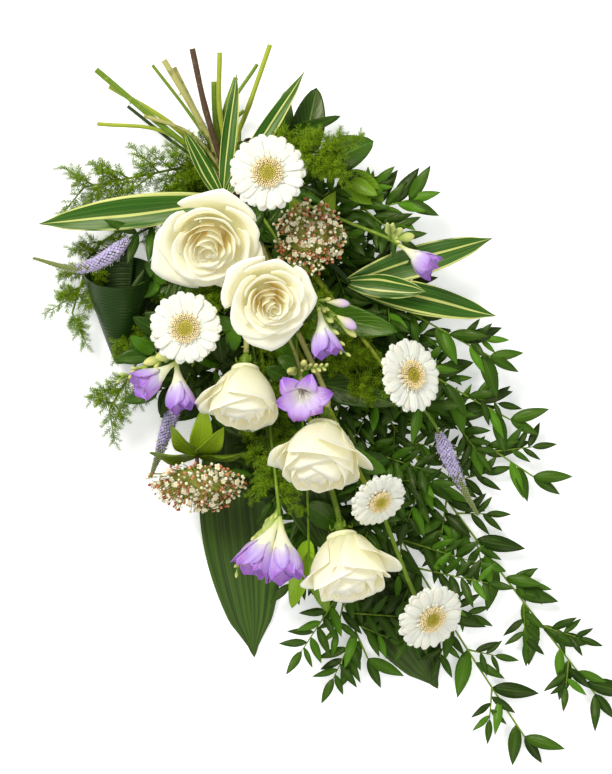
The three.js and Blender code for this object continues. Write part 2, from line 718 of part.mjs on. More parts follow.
function rosePetal(ring, middle, size) {
  return (u, v) => {
    const rise = v * (1 - 0.14 * u * u);
    const curl = Math.max(0, (rise - 0.7) / 0.3) ** 2 * ring.curl;
    const opening = Math.sin((rise * ring.close * Math.PI) / 2) ** 0.9;
    const radius = ring.from + (ring.radius - ring.from) * opening + ROSE_TUCK * u + curl;
    const height = ROSE_FOOT + ring.height * rise ** 1.15 - 0.6 * curl;
    const widening = 0.5 + 0.5 * Math.sin((Math.min(1, rise / 0.6) * Math.PI) / 2);
    const angle = middle + radians(ring.spread) * u * widening;
    return vector(radius * Math.cos(angle), radius * Math.sin(angle), height).multiplyScalar(size);
  };
}

function makeRose(number, rose) {
  const { base, facing, size, spin, cupped } = rose;
  const frame = frameAt(base, facing);
  const sides = cupped ? ROSE_BASE : [...ROSE_BASE, ...ROSE_BUD];
  const top = [0, sides[sides.length - 1][1]];
  const heart = [...sides, top].map(([radius, height]) => [radius * size, height * size]);
  const petals = [turned(heart, 6, frame)];
  for (const ring of cupped ? CUPPED_ROSE : OPEN_ROSE) {
    for (let k = 0; k < ring.count; k++) {
      const middle = radians(spin + ring.turn + (360 * k) / ring.count);
      petals.push(sheet(rosePetal(ring, middle, size), 2, ring.steps, PETAL, frame));
    }
  }
  const head = keep(wasm.Manifold.union(petals), `rose_${number}`);
  fuse(`rose_head_${number}`, [head], "rose");
}

// A rose's stem widens into the hip under the petals.
const HIP = [[2.6, -13], [5, -9], [6.5, -5], [4.5, -1.5], [7.5, 0]];
const roseEnd = ({ base, facing }) => base.clone().addScaledVector(facing.clone().normalize(), -CLEARANCE);

function makeRoseStem(number, rose) {
  const name = `rose_${number}`;
  const hip = keep(turned(HIP, 6, frameAt(roseEnd(rose), rose.facing)), name);
  fuse(`rose_stem_${number}`, [hip, stemOf(name)], "stem");
}

// Gerbera: two layers of rays cut from one ring each, cupped a little, round the stem's own disc
const GERBERA_HOLE = 8;
const LOWER_RAYS = { count: 15, notch: 0.6, lift: 0.08, blunt: [-0.25, 0.22] };
const UPPER_RAYS = { count: 10, reach: 0.78, notch: 0.46, lift: 0.3, blunt: [0], turn: 0.15, up: 0.6 };
const GERBERA_HEART = [[2.6, -11], [10.5, -CLEARANCE], [7.4, -CLEARANCE], [7.4, 3], [0, 4.6]];

function rays(count, outer, notch, lift, blunt, matrix) {
  const point = (radius, turn) => new THREE.Vector2(radius * Math.cos(turn), radius * Math.sin(turn));
  const pitch = (2 * Math.PI) / count;
  const outline = Array.from({ length: count }, (_, k) => [
    point(notch, (k - 0.5) * pitch),
    ...blunt.map((turn, side) => point(outer * (0.97 + 0.03 * side), (k + turn) * pitch)),
  ]).flat();
  const shape = new THREE.Shape(outline);
  const rim = Array.from({ length: 8 }, (_, k) => point(GERBERA_HOLE, (-2 * Math.PI * k) / 8));
  shape.holes.push(new THREE.Path(rim));
  const geometry = new THREE.ExtrudeGeometry(shape, { depth: 1, bevelEnabled: false });
  const spots = geometry.getAttribute("position");
  for (let i = 0; i < spots.count; i++) {
    const out = Math.hypot(spots.getX(i), spots.getY(i)) - GERBERA_HOLE;
    spots.setZ(i, spots.getZ(i) + Math.max(0, out) * lift);
  }
  return solid(geometry.applyMatrix4(matrix));
}

function makeGerbera(number, { face, facing, size }) {
  const frame = frameAt(face, facing);
  const radius = GERBERA_RADIUS * size;
  const [low, high] = [LOWER_RAYS, UPPER_RAYS];
  const lower = rays(low.count, radius, radius * low.notch, low.lift, low.blunt, frame);
  const above = new THREE.Matrix4().makeRotationZ(high.turn).setPosition(0, 0, high.up);
  const inner = radius * high.reach;
  const place = frame.clone().multiply(above);
  const upper = rays(high.count, inner, radius * high.notch, high.lift, high.blunt, place);
  fuse(`gerbera_petals_${number}`, [keep(lower.add(upper), `gerbera_${number}`)], "gerbera");
}

const GERBERA_NECK = 9.5; // from the face back to the stem's end
const gerberaEnd = ({ face, facing }) =>
  face.clone().addScaledVector(facing.clone().normalize(), -GERBERA_NECK);

function makeGerberaStem(number, { face, facing }) {
  const name = `gerbera_${number}`;
  const disc = keep(turned(GERBERA_HEART, 8, frameAt(face, facing)), name);
  fuse(`gerbera_stem_${number}`, [disc, stemOf(name)], "stem");
}

// Freesia: a bell of two layers of three tepals on a slim tube. Each row is the radius, the height and
// the width of a tepal on its way out.
const TEPAL = [[4.8, 23.4, 4.6], [8.8, 32, 13], [16, 42, 13], [22, 48, 0]];
const FREESIA_TUBE = [[1.8, 0], [2.4, 9], [7, 22], [7, 24]];
const FREESIA_KNOB = [[1.9, -2.4], [2.4, -1], [2, 1.5]];
const openOf = (facing) => (facing.z > 0.4 ? 1 : 0.72); // a bell that looks up is wide open

function freesiaBell(base, facing, size) {
  const frame = frameAt(base, facing).scale(vector(size, size, size));
  const open = openOf(facing);
  const pieces = [turned(FREESIA_TUBE, 5, frame)];
  for (let k = 0; k < 6; k++) {
    const spin = new THREE.Matrix4().makeRotationZ((Math.PI * k) / 3 + 0.2);
    const inner = k % 2;
    const rings = TEPAL.map(([out, height, wide], row) => {
      const radius = 2 + (out - 2) * (row === 0 ? 1 : open) - inner * 2.4;
      if (wide === 0) return [vector(radius, 0, height - 3 * inner)];
      const half = (wide / 2) * (0.5 + 0.5 * open) * (1 - 0.2 * inner);
      return [
        vector(radius - 0.14 * wide, half, height),
        vector(radius - 0.8, 0, height + 0.4),
        vector(radius - 0.14 * wide, -half, height),
        vector(radius + 0.8, 0, height - 0.4),
      ];
    });
    pieces.push(solid(skin(rings).applyMatrix4(frame.clone().multiply(spin))));
  }
  return wasm.Manifold.union(pieces);
}

// A spindle-shaped bud at the end of its twig, from a to b
const BUD_LENGTH = 18;
const TWIG = 0.9;
function bud(a, b, radius, sides = 4) {
  const length = a.distanceTo(b);
  const foot = length > BUD_LENGTH + 1 ? [[TWIG, length - BUD_LENGTH]] : [];
  const profile = [[TWIG, 0], ...foot, [radius, length - 7], [0, length]];
  return turned(profile, sides, frameAt(a, b.clone().sub(a)));
}

function makeFreesia(number, { base, arriving, facings, size }) {
  const knob = turned(FREESIA_KNOB, 5, frameAt(base, arriving));
  const bells = facings.map((facing) => freesiaBell(base, facing, size));
  const bloom = keep(wasm.Manifold.union([knob, ...bells]), `freesia_bloom_${number}`);
  fuse(`freesia_blooms_${number}`, [bloom], "freesia");
}

// The row of buds branches off the stem below the blooms.
const freesiaEnd = ({ base, arriving }) =>
  base.clone().addScaledVector(arriving.clone().normalize(), -2.4 - CLEARANCE);

function makeFreesiaStem(number, freesia) {
  const name = `freesia_${number}`;
  const pieces = [stemOf(name)];
  const from = freesiaEnd(freesia).addScaledVector(freesia.arriving.clone().normalize(), -8);
  freesia.buds.forEach((tip, k) => {
    const twig = bentClear(name, BUD_TURNS, ({ aside, lift }) => {
      const end = tip.clone().addScaledVector(UP, lift).addScaledVector(across, aside);
      return bud(from, end, (3.6 - 0.6 * k) * freesia.size); // the first bud is the fattest
    });
    pieces.push(twig);
  });
  fuse(`freesia_stem_${number}`, pieces, "stem");
}

// Veronica: a tapering spike whose small flowers stand out of it in a stagger
const girthAt = (share) => VERONICA_RADIUS * Math.min(1, 0.4 + 3 * share) * (1 - 0.82 * share ** 1.6);

const SPIKE_RINGS = 14;
const SPIKE_SIDES = 6;

function spikeOn(points) {
  const curve = new THREE.CatmullRomCurve3(points);
  const [count, sides] = [SPIKE_RINGS, SPIKE_SIDES];
  const frames = curve.computeFrenetFrames(count, false);
  const rings = Array.from({ length: count + 1 }, (_, i) => {
    const centre = curve.getPointAt(i / count);
    if (i === count) return [centre];
    return Array.from({ length: sides }, (_, k) => {
      const angle = (2 * Math.PI * (k + (i % 2) / 2)) / sides;
      const bump = girthAt(i / count) * (i % 2 === 0 ? 1.12 : 0.76);
      const side = frames.normals[i].clone().multiplyScalar(Math.cos(angle) * bump);
      return centre.clone().add(side).addScaledVector(frames.binormals[i], Math.sin(angle) * bump);
    });
  });
  return solid(skin(rings));
}

const spikeStart = ({ spike }) => spike[1].clone().sub(spike[0]).normalize();

function makeVeronica(number, { spike }) {
  const name = `veronica_${number}`;
  fuse(name, [keep(spikeOn(spike), name), stemOf(name)], "veronica");
}

// Viburnum: a dome of small buds that stand out of a smaller core
const VIBURNUM_HEIGHT = 26;
const VIBURNUM_CORE = [[5, 0], [24, 4], [28, 13], [21, 21], [0, 25.5]];
const viburnumBase = ({ face, facing, size }) =>
  face.clone().addScaledVector(facing.clone().normalize(), -VIBURNUM_HEIGHT * size);
const viburnumEnd = (viburnum) =>
  viburnumBase(viburnum).addScaledVector(viburnum.facing.clone().normalize(), -CLEARANCE);

function makeViburnum(number, viburnum) {
  const { florets, size } = viburnum;
  const frame = frameAt(viburnumBase(viburnum), viburnum.facing).scale(vector(size, size, size));
  const pieces = [turned(VIBURNUM_CORE, 8, frame)];
  for (let k = 0; k < florets; k++) {
    const out = Math.sqrt((k + 0.5) / florets);
    const turn = k * GOLDEN_TURN;
    const tilt = out * radians(78);
    const reach = vector(
      Math.sin(tilt) * Math.cos(turn), Math.sin(tilt) * Math.sin(turn), Math.cos(tilt) * 0.74,
    );
    const foot = vector(0, 0, 3).addScaledVector(reach, VIBURNUM_RADIUS * 0.52);
    const tip = vector(0, 0, 3).addScaledVector(reach, VIBURNUM_RADIUS);
    const length = foot.distanceTo(tip);
    const profile = [[0, 0], [2.9, length * 0.72], [0, length]];
    const floret = turned(profile, 3, frameAt(foot, tip.clone().sub(foot)));
    pieces.push(floret.transform(frame.elements));
  }
  fuse(`viburnum_head_${number}`, [keep(wasm.Manifold.union(pieces), `viburnum_${number}`)], "viburnum");
}

function makeViburnumLeaves(number, viburnum) {
  const name = `viburnum_${number}`;
  const end = viburnumEnd(viburnum);
  const cup = turned([[2, -7], [5, 0]], 6, frameAt(end, viburnum.facing));
  const pieces = [keep(cup, name), stemOf(name)];
  const direction = viburnum.facing.clone().normalize();
  const collar = frameAt(end.clone().addScaledVector(direction, -viburnum.collar), direction);
  viburnum.leaves.forEach(([turn, lean], k) => {
    const leaf = bentClear(name, VIBURNUM_TURNS, ({ swing, dip }) => {
      const spin = new THREE.Matrix4().makeRotationZ(radians(turn + swing));
      const pitch = new THREE.Matrix4().makeRotationY(radians(lean + dip));
      const shape = { length: 56 - (k % 2) * 9, width: 26, arch: 0.2, stations: OVAL };
      return blade(shape, collar.clone().multiply(spin).multiply(pitch));
    });
    pieces.push(leaf);
  });
  fuse(`viburnum_leaves_${number}`, pieces, "leaf");
}

// Ruscus: leaves in turn to each side of the stem's last lengths
const RUSCUS_LENGTHS = 7;
const RUSCUS_WIDTH = 0.34; // to its length
function makeRuscus(number, { leaves }) {
  const name = `ruscus_${number}`;
  const roll = dice(100 + number);
  const pieces = [stemOf(name)];
  const leafy = stems.get(name).points.slice(-RUSCUS_LENGTHS);
  for (let k = 0; k < leaves; k++) {
    const { point, tangent } = partWay(leafy, 0.15 + (0.85 * (k + 0.5)) / leaves);
    const side = vector(-tangent.y, tangent.x, 0).normalize().multiplyScalar(k % 2 === 0 ? 1 : -1);
    const length = RUSCUS_LEAF * (0.8 + 0.35 * roll());
    const [spread, tilt] = [0.75 + 0.5 * roll(), 0.05 + 0.35 * roll()];
    const leaf = bentClear(name, LEAF_TURNS, ({ swing, raise }) => {
      const out = tangent.clone().addScaledVector(side, spread + swing);
      out.z += tilt + raise;
      const width = length * RUSCUS_WIDTH;
      return blade({ length, width, arch: 0.16, ridged: true }, leafFrame(point, out));
    });
    pieces.push(leaf);
  }
  fuse(name, pieces, "ruscus");
}

// A leaf's frame, with its upper face turned up
function leafFrame(point, out) {
  const ahead = out.clone().normalize();
  return frameAt(point, UP.clone().addScaledVector(ahead, -ahead.z), ahead);
}

// Asparagus fern: twigs along the plume, each a slim core with fine shoots round it
const PLUME_LENGTHS = 5;
const SHOOTS = 4;
const SHOOT_LENGTH = 16;

function makeFern(number, { twigs }) {
  const name = `asparagus_${number}`;
  const roll = dice(300 + number);
  const pieces = [stemOf(name)];
  const leafy = stems.get(name).points.slice(-PLUME_LENGTHS);
  for (let k = 0; k < twigs; k++) {
    const { point, tangent } = partWay(leafy, 0.3 + (0.7 * (k + 1)) / twigs);
    const side = vector(-tangent.y, tangent.x, 0).normalize().multiplyScalar(k % 2 === 0 ? 1 : -1);
    const reach = 30 + 10 * roll();
    const lean = 0.1 + 0.3 * roll();
    let out = null;
    const twig = bentClear(name, LEAF_TURNS, ({ swing, raise }) => {
      out = tangent.clone().multiplyScalar(0.8).addScaledVector(side, 0.7 + swing);
      out.z += lean + raise;
      out.normalize();
      return turned([[1.6, 0], [1, reach * 0.85], [0, reach]], 3, frameAt(point, out));
    });
    if (!twig) continue;
    pieces.push(twig);
    for (let n = 0; n < SHOOTS; n++) {
      const foot = point.clone().addScaledVector(out, reach * (0.25 + (0.6 * n) / SHOOTS));
      const turn = n * GOLDEN_TURN + roll();
      const shoot = bentClear(name, SHOOT_TURNS, (more) => {
        const round = frameAt(foot, out).multiply(new THREE.Matrix4().makeRotationZ(turn + more));
        const way = vector(1, 0, 0.8).transformDirection(round);
        return turned([[0.7, 0], [0, SHOOT_LENGTH]], 3, frameAt(foot, way));
      });
      pieces.push(shoot);
    }
  }
  fuse(name, pieces, "fern");
}

// Aspidistra: a broad blade on its stalk
const stalkEnd = ({ from, tip }) => from.clone().lerp(tip, 0.05);

function makeAspidistra(number, { from, tip, width }) {
  const name = `aspidistra_${number}`;
  const leaf = bentClear(name, ASPIDISTRA_RAISES, (raise) => {
    const [start, end] = [from, tip].map((p) => p.clone().setZ(p.z + raise));
    const reach = end.clone().sub(start);
    const shape = { length: reach.length(), width, thickness: 2, arch: 0, fold: 0.04, stations: STRAP };
    return blade(shape, leafFrame(start, reach));
  });
  fuse(name, [stemOf(name), leaf], "leaf");
}

// The fourth aspidistra leaf is rolled into a cone whose mouth looks up and away from the tie.
const CONE = {
  apex: vector(-112, -196, 14),
  mouth: vector(-114, -92, 42),
  radius: 33,
  stalk: vector(-106, -183, 17),
  stalkWay: vector(-0.5, -0.8, 0.05),
};

function coneShape(length) {
  return (u, v) => {
    const angle = radians(-100 + 195 * u);
    const radius = (5 + (CONE.radius - 5) * v) * (1 + 0.1 * (u + 1));
    const height = length * (0.06 + 0.94 * v) - 6 * u * v;
    return vector(radius * Math.cos(angle), radius * Math.sin(angle), height);
  };
}

function makeCone() {
  const direction = CONE.mouth.clone().sub(CONE.apex);
  const leaf = sheet(coneShape(direction.length()), 10, 2, 1, frameAt(CONE.apex, direction));
  fuse("aspidistra_cone", [keep(leaf, "cone"), stemOf("cone")], "leaf");
}

// Dracaena: striped leaves from one stem's end
function makeStriped(number, { end, leaves }) {
  const name = `dracaena_${number}`;
  const pieces = [stemOf(name)];
  for (const { tip, width } of leaves) {
    const leaf = bentClear(name, STRIPED_RAISES, (raise) => {
      const reach = tip.clone().sub(end).setZ(tip.z - end.z + raise);
      const shape = { length: reach.length(), width, thickness: 2, arch: 0.02, fold: 0.12, stations: STRAP };
      return blade(shape, leafFrame(end, reach));
    });
    pieces.push(leaf);
  }
  fuse(name, pieces, "striped");
}

// Salal: oval leaves whose roots reach a little past the middle of the stem
const SALAL_ROOT = 0.03; // of a leaf's length

function makeSalal(number, { leaves }) {
  const name = `salal_${number}`;
  const pieces = [stemOf(name)];
  const leafy = stems.get(name).points.slice(2);
  for (const { share, tip, width } of leaves) {
    const { point: from } = partWay(leafy, share);
    const leaf = bentClear(name, SALAL_RAISES, (raise) => {
      const reach = tip.clone().sub(from).setZ(tip.z - from.z + raise);
      const root = from.clone().addScaledVector(reach, -SALAL_ROOT);
      return blade({ length: reach.length(), width, arch: 0.08, stations: OVAL }, leafFrame(root, reach));
    });
    pieces.push(leaf);
  }
  fuse(name, pieces, "leaf");
}

// How the heads keep the stems off: a firm line through each, with its radius at both ends
function block(owner, a, b, radius, endRadius) {
  blocks.push({ owner, points: [a, b], radius, endRadius });
}

function blockHeads() {
  ROSES.forEach((rose, k) => {
    const direction = rose.facing.clone().normalize();
    const [low, high] = [6, ROSE_DEPTH].map((h) =>
      rose.base.clone().addScaledVector(direction, h * rose.size),
    );
    block(`rose_${k + 1}`, low, high, 15 * rose.size, (rose.cupped ? 40 : 46) * rose.size);
  });
  GERBERAS.forEach(({ face, facing, size }, k) => {
    const [x, y] = [vector(1, 0, 0), vector(0, 1, 0)].map((d) =>
      d.transformDirection(frameAt(face, facing)).multiplyScalar(30 * size),
    );
    block(`gerbera_${k + 1}`, face.clone().sub(x), face.clone().add(x), 6, 6);
    block(`gerbera_${k + 1}`, face.clone().sub(y), face.clone().add(y), 6, 6);
  });
  FREESIAS.forEach(({ base, facings, size }, k) => {
    facings.forEach((facing) => {
      const direction = facing.clone().normalize();
      const [low, high] = [10, 40].map((h) => base.clone().addScaledVector(direction, h * size));
      block(`freesia_${k + 1}`, low, high, 3.5 * size, 17 * size);
    });
  });
  VERONICAS.forEach(({ spike }, k) => {
    spike.slice(1).forEach((p, i) => block(`veronica_${k + 1}`, spike[i], p, 8.5, 8));
  });
  VIBURNUMS.forEach((viburnum, k) => {
    const direction = viburnum.facing.clone().normalize();
    const { size } = viburnum;
    const [low, high] = [4, VIBURNUM_HEIGHT - 8].map((h) =>
      viburnumBase(viburnum).addScaledVector(direction, h * size),
    );
    block(`viburnum_${k + 1}`, low, high, 8 * size, 36 * size);
  });
  block("cone", CONE.apex, CONE.mouth, 8, CONE.radius * 1.24);
}

// Assembly: the stems settle first; then the tie, the heads, the stems and what grows on them
ROSES.forEach((rose, k) => {
  const hip = roseEnd(rose).addScaledVector(rose.facing.clone().normalize(), -10);
  layTo(`rose_${k + 1}`, hip, rose.facing);
});
GERBERAS.forEach((gerbera, k) => layTo(`gerbera_${k + 1}`, gerberaEnd(gerbera), gerbera.facing));
FREESIAS.forEach((freesia, k) => layTo(`freesia_${k + 1}`, freesiaEnd(freesia), freesia.arriving));
VERONICAS.forEach((veronica, k) => {
  const way = spikeStart(veronica);
  layTo(`veronica_${k + 1}`, veronica.spike[0].clone().addScaledVector(way, 5), way);
});
VIBURNUMS.forEach((viburnum, k) => {
  const end = viburnumEnd(viburnum).addScaledVector(viburnum.facing.clone().normalize(), -4);
  layTo(`viburnum_${k + 1}`, end, viburnum.facing);
});
RUSCUS.forEach(({ route }, k) => layThrough(`ruscus_${k + 1}`, route));
FERNS.forEach(({ route }, k) => layThrough(`asparagus_${k + 1}`, route, 6));
SALALS.forEach(({ route }, k) => layThrough(`salal_${k + 1}`, route, 5 + k));
ASPIDISTRAS.forEach((leaf, k) => {
  layTo(`aspidistra_${k + 1}`, stalkEnd(leaf), leaf.tip.clone().sub(leaf.from), { count: 4 });
});
layTo("cone", CONE.stalk, CONE.stalkWay, { count: 4 });
STRIPED.forEach(({ end, arriving }, k) => layTo(`dracaena_${k + 1}`, end.clone(), arriving, { count: 4 }));
blockHeads();
settleStems();

fuse("twine_tie", [keep(makeTie(), "tie")], "twine");
ROSES.forEach((rose, k) => makeRose(k + 1, rose));
GERBERAS.forEach((gerbera, k) => makeGerbera(k + 1, gerbera));
FREESIAS.forEach((freesia, k) => makeFreesia(k + 1, freesia));
VIBURNUMS.forEach((viburnum, k) => makeViburnum(k + 1, viburnum));
ROSES.forEach((rose, k) => makeRoseStem(k + 1, rose));
GERBERAS.forEach((gerbera, k) => makeGerberaStem(k + 1, gerbera));
VERONICAS.forEach((veronica, k) => makeVeronica(k + 1, veronica));
// A round stand-in for each stem keeps the leaves off it, whatever its sides are.
stems.forEach((stem) => keep(tube(stem.points, stem.radius, 12), stem.name));
FREESIAS.forEach((freesia, k) => makeFreesiaStem(k + 1, freesia));
makeCone();
ASPIDISTRAS.forEach((leaf, k) => makeAspidistra(k + 1, leaf));
STRIPED.forEach((rosette, k) => makeStriped(k + 1, rosette));
SALALS.forEach((spray, k) => makeSalal(k + 1, spray));
VIBURNUMS.forEach((viburnum, k) => makeViburnumLeaves(k + 1, viburnum));
RUSCUS.forEach((spray, k) => makeRuscus(k + 1, spray));
FERNS.forEach((fern, k) => makeFern(k + 1, fern));

nodes.forEach((mesh) => group.add(mesh));
export default group;
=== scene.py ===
# Looks for the flower sheaf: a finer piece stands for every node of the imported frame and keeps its
# form, and the growth that the solids leave out is added. Lengths are in millimetres, as in the part's
# own source, until a piece is finished. The frame is in metres.
import math
import random

import bmesh
import bpy
import numpy as np
from mathutils import Matrix, Vector
from mathutils.kdtree import KDTree


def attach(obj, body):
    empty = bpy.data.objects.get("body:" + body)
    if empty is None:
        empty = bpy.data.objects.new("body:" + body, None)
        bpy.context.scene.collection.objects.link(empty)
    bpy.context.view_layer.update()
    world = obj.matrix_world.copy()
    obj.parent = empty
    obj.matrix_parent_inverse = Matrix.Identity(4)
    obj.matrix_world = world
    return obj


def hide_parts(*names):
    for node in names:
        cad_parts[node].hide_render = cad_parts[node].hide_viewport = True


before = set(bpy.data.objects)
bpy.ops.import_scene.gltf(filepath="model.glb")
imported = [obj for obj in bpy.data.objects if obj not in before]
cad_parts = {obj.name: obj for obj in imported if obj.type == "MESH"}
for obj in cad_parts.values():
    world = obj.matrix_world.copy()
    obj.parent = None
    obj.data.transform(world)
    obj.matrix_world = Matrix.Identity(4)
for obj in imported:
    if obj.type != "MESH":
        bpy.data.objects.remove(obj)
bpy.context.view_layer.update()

MM = 0.001
UP = Vector((0, 0, 1))
GOLDEN_TURN = math.radians(137.5)
FULL_TURN = 2 * math.pi


def v3(x, y, z):
    return Vector((x, y, z))


# The bundle in the tie and the ways that the stems take, as the part's source lays them. Room is what
# stems keep between them, lead how far a spray's stem runs on straight from the tie, and rounds how often
# the stems give way to each other. For the evening rounds each also evens out by a share. Far is the gap
# over which two lengths aren't looked at.
CLEARANCE = 0.4
ROOM = CLEARANCE + 0.35
TIE_LENGTH = 14
TIE_ROOM = 0.9
TWINE = 2.4
HEADING = math.radians(-65)
SHORT_CUT = 30
BACK_CUT = 3
LONGEST_NECK = 60
LEAD = 16
ROUNDS = 180
EVENING_ROUNDS = 0.7 * ROUNDS
EVENING = 0.06
FAR = 60.0
ROSE_DEPTH = 34
VERONICA_RADIUS = 7.5
VIBURNUM_RADIUS = 37
VIBURNUM_HEIGHT = 26
RUSCUS_LEAF = 46
ALONG = v3(math.cos(HEADING), math.sin(HEADING), 0)
ACROSS = v3(-ALONG.y, ALONG.x, 0)

# Where each flower sits, the way that it looks and its size. A rose is also turned about itself by its
# spin, and breadth is how wide it is across its own Y beside its X. The heart of an open one lies off its
# middle, and a closed one has guards: petals fallen open. Leaves are the shares of the stem's length at
# which its leaves stand.
ROSES = [
    dict(
        base=v3(-13, -55, 82), facing=v3(-0.06, -0.46, 0.88), size=1.14, spin=20, cupped=False,
        breadth=0.93, heart=v3(-4, -6, 0), guards=[], leaves=(0.45, 0.7, 0.86),
    ),
    dict(
        base=v3(36, -119, 121), facing=v3(0.15, -0.3, 0.94), size=0.92, spin=75, cupped=False,
        breadth=1, heart=v3(5, -12, 0), guards=[], leaves=(0.4, 0.6),
    ),
    dict(
        base=v3(17, -193, 82), facing=v3(-0.03, -0.9, 0.42), size=0.94, spin=12, cupped=True,
        breadth=1, heart=v3(0, 0, 0), guards=[168, 205], leaves=(0.35, 0.5, 0.66, 0.8),
    ),
    dict(
        base=v3(96, -248, 88), facing=v3(-0.12, -0.9, 0.42), size=1.04, spin=48, cupped=True,
        breadth=1, heart=v3(0, 0, 0), guards=[196, 15, 60], leaves=(0.36, 0.5, 0.64, 0.8),
    ),
    dict(
        base=v3(112, -359, 68), facing=v3(0.16, -0.9, 0.42), size=1.03, spin=0, cupped=True,
        breadth=1, heart=v3(0, 0, 0), guards=[2, 35], leaves=(0.34, 0.46, 0.58, 0.7, 0.84),
    ),
]
GERBERAS = [
    dict(face=v3(40, -9, 162), facing=v3(0.02, -0.05, 1), size=1),
    dict(face=v3(-41, -157, 112), facing=v3(-0.05, -0.08, 1), size=0.97),
    dict(face=v3(179, -204, 100), facing=v3(0.6, 0.15, 0.78), size=1),
    dict(face=v3(148, -326, 98), facing=v3(0.45, -0.5, 0.75), size=0.82),
    dict(face=v3(201, -445, 62), facing=v3(0.42, -0.4, 0.82), size=0.97),
]
# A freesia has a row of buds, given by their tips, with their girth beside the usual one. So many of them
# show lilac.
FREESIAS = [
    dict(
        base=v3(170, -75, 88), arriving=v3(0.8, -0.5, 0.2), facings=[v3(0.78, -0.55, 0.3)], size=0.95,
        buds=[v3(184, -66, 96), v3(172, -58, 94), v3(160, -60, 92)], girth=1, lilac_buds=0,
    ),
    dict(
        base=v3(90, -139, 119), arriving=v3(0.5, -0.8, 0.2), facings=[v3(0.16, -0.95, 0.2)], size=1.05,
        buds=[v3(126, -158, 126), v3(120, -134, 116), v3(110, -174, 118)], girth=1, lilac_buds=2,
    ),
    dict(
        base=v3(72, -207, 96), arriving=v3(0.1, -0.8, 0.5), facings=[v3(0.05, -0.5, 0.86)], size=1.1,
        buds=[v3(60, -200, 130), v3(76, -190, 132), v3(92, -196, 124)], girth=0.7, lilac_buds=0,
    ),
    dict(
        base=v3(-52, -190, 78), arriving=v3(-0.3, -0.9, 0.2), size=1.1,
        facings=[v3(-0.74, -0.55, 0.35), v3(0.12, -0.95, 0.2)],
        buds=[v3(-72, -186, 88), v3(-84, -192, 86), v3(-98, -202, 80)], girth=1, lilac_buds=0,
    ),
    dict(
        base=v3(51, -345, 84), arriving=v3(0.1, -0.95, 0.1), size=1.4,
        facings=[v3(0.1, -0.95, 0.3), v3(-0.5, -0.84, 0.25)],
        buds=[v3(36, -366, 80), v3(24, -376, 78), v3(14, -388, 74)], girth=1, lilac_buds=0,
    ),
]
# Each spike from its foot to its tip
VERONICAS = [
    [v3(-100, -68, 66), v3(-124, -88, 76), v3(-150, -97, 72), v3(-196, -86, 58)],
    [v3(-50, -226, 52), v3(-62, -254, 48), v3(-71, -282, 42), v3(-80, -306, 36)],
    [v3(209, -260, 62), v3(220, -286, 58), v3(232, -312, 52), v3(250, -344, 44)],
]
VIBURNUMS = [
    dict(
        face=v3(83, -66, 106), facing=v3(0.12, 0.05, 1), size=1, collar=5,
        leaves=[(60, -6), (110, 1), (20, 8)],
    ),
    dict(
        face=v3(-32, -330, 71), facing=v3(0, -0.93, 0.37), size=1.35, collar=15,
        leaves=[(8, -10), (172, -12), (60, 0), (125, 10), (92, 30)],
    ),
]
# Each spray's way from the tie and the number of its leaves, and each plume's way and its twigs
RUSCUS = [
    ([v3(60, -50, 34), v3(116, -56, 50), v3(160, -40, 58), v3(180, -28, 60)], 10),
    ([v3(70, -80, 30), v3(150, -128, 40), v3(210, -160, 44), v3(262, -184, 42)], 10),
    ([v3(70, -110, 26), v3(170, -210, 32), v3(234, -238, 30), v3(284, -248, 26)], 10),
    ([v3(70, -130, 20), v3(190, -256, 22), v3(256, -280, 20), v3(308, -306, 16)], 10),
    ([v3(70, -150, 14), v3(200, -300, 16), v3(262, -396, 14), v3(318, -470, 12), v3(372, -528, 9)], 15),
    ([v3(60, -160, 12), v3(170, -400, 12), v3(228, -500, 10), v3(300, -572, 7)], 10),
    ([v3(40, -170, 10), v3(70, -380, 12), v3(96, -450, 12), v3(140, -492, 10)], 10),
]
FERNS = [
    ([v3(-40, 6, 58), v3(-90, -4, 56), v3(-146, -14, 46)], 5),
    ([v3(-60, -40, 44), v3(-120, -66, 36), v3(-168, -104, 30), v3(-160, -140, 26)], 5),
    ([v3(-40, -80, 36), v3(-90, -180, 34), v3(-122, -238, 30)], 5),
    ([v3(-20, -70, 44), v3(-14, -110, 60), v3(-8, -122, 74)], 4),
    ([v3(20, -120, 50), v3(36, -240, 62), v3(48, -320, 66)], 5),
    ([v3(60, -100, 54), v3(110, -170, 70), v3(140, -216, 70)], 5),
    ([v3(50, 20, 70), v3(84, 22, 84), v3(104, 14, 90)], 5),
]
ASPIDISTRAS = [
    dict(root=v3(0, -230, 6), tip=v3(24, -492, 1), width=84),
    dict(root=v3(60, -270, 44), tip=v3(104, -386, 34), width=52),
    dict(root=v3(120, -360, 8), tip=v3(212, -524, 1), width=76),
]
STRIPED = [
    dict(
        end=v3(-6, -30, 74), arriving=v3(0.1, -0.6, 0.6),
        leaves=[
            (v3(-192, -52, 62), 34), (v3(8, 98, 72), 16), (v3(-44, 40, 84), 16), (v3(76, 100, 74), 18),
        ],
    ),
    dict(
        end=v3(120, -110, 50), arriving=v3(0.5, -0.6, 0.2),
        leaves=[(v3(264, -66, 62), 32), (v3(268, -144, 58), 32), (v3(196, -120, 76), 24)],
    ),
]
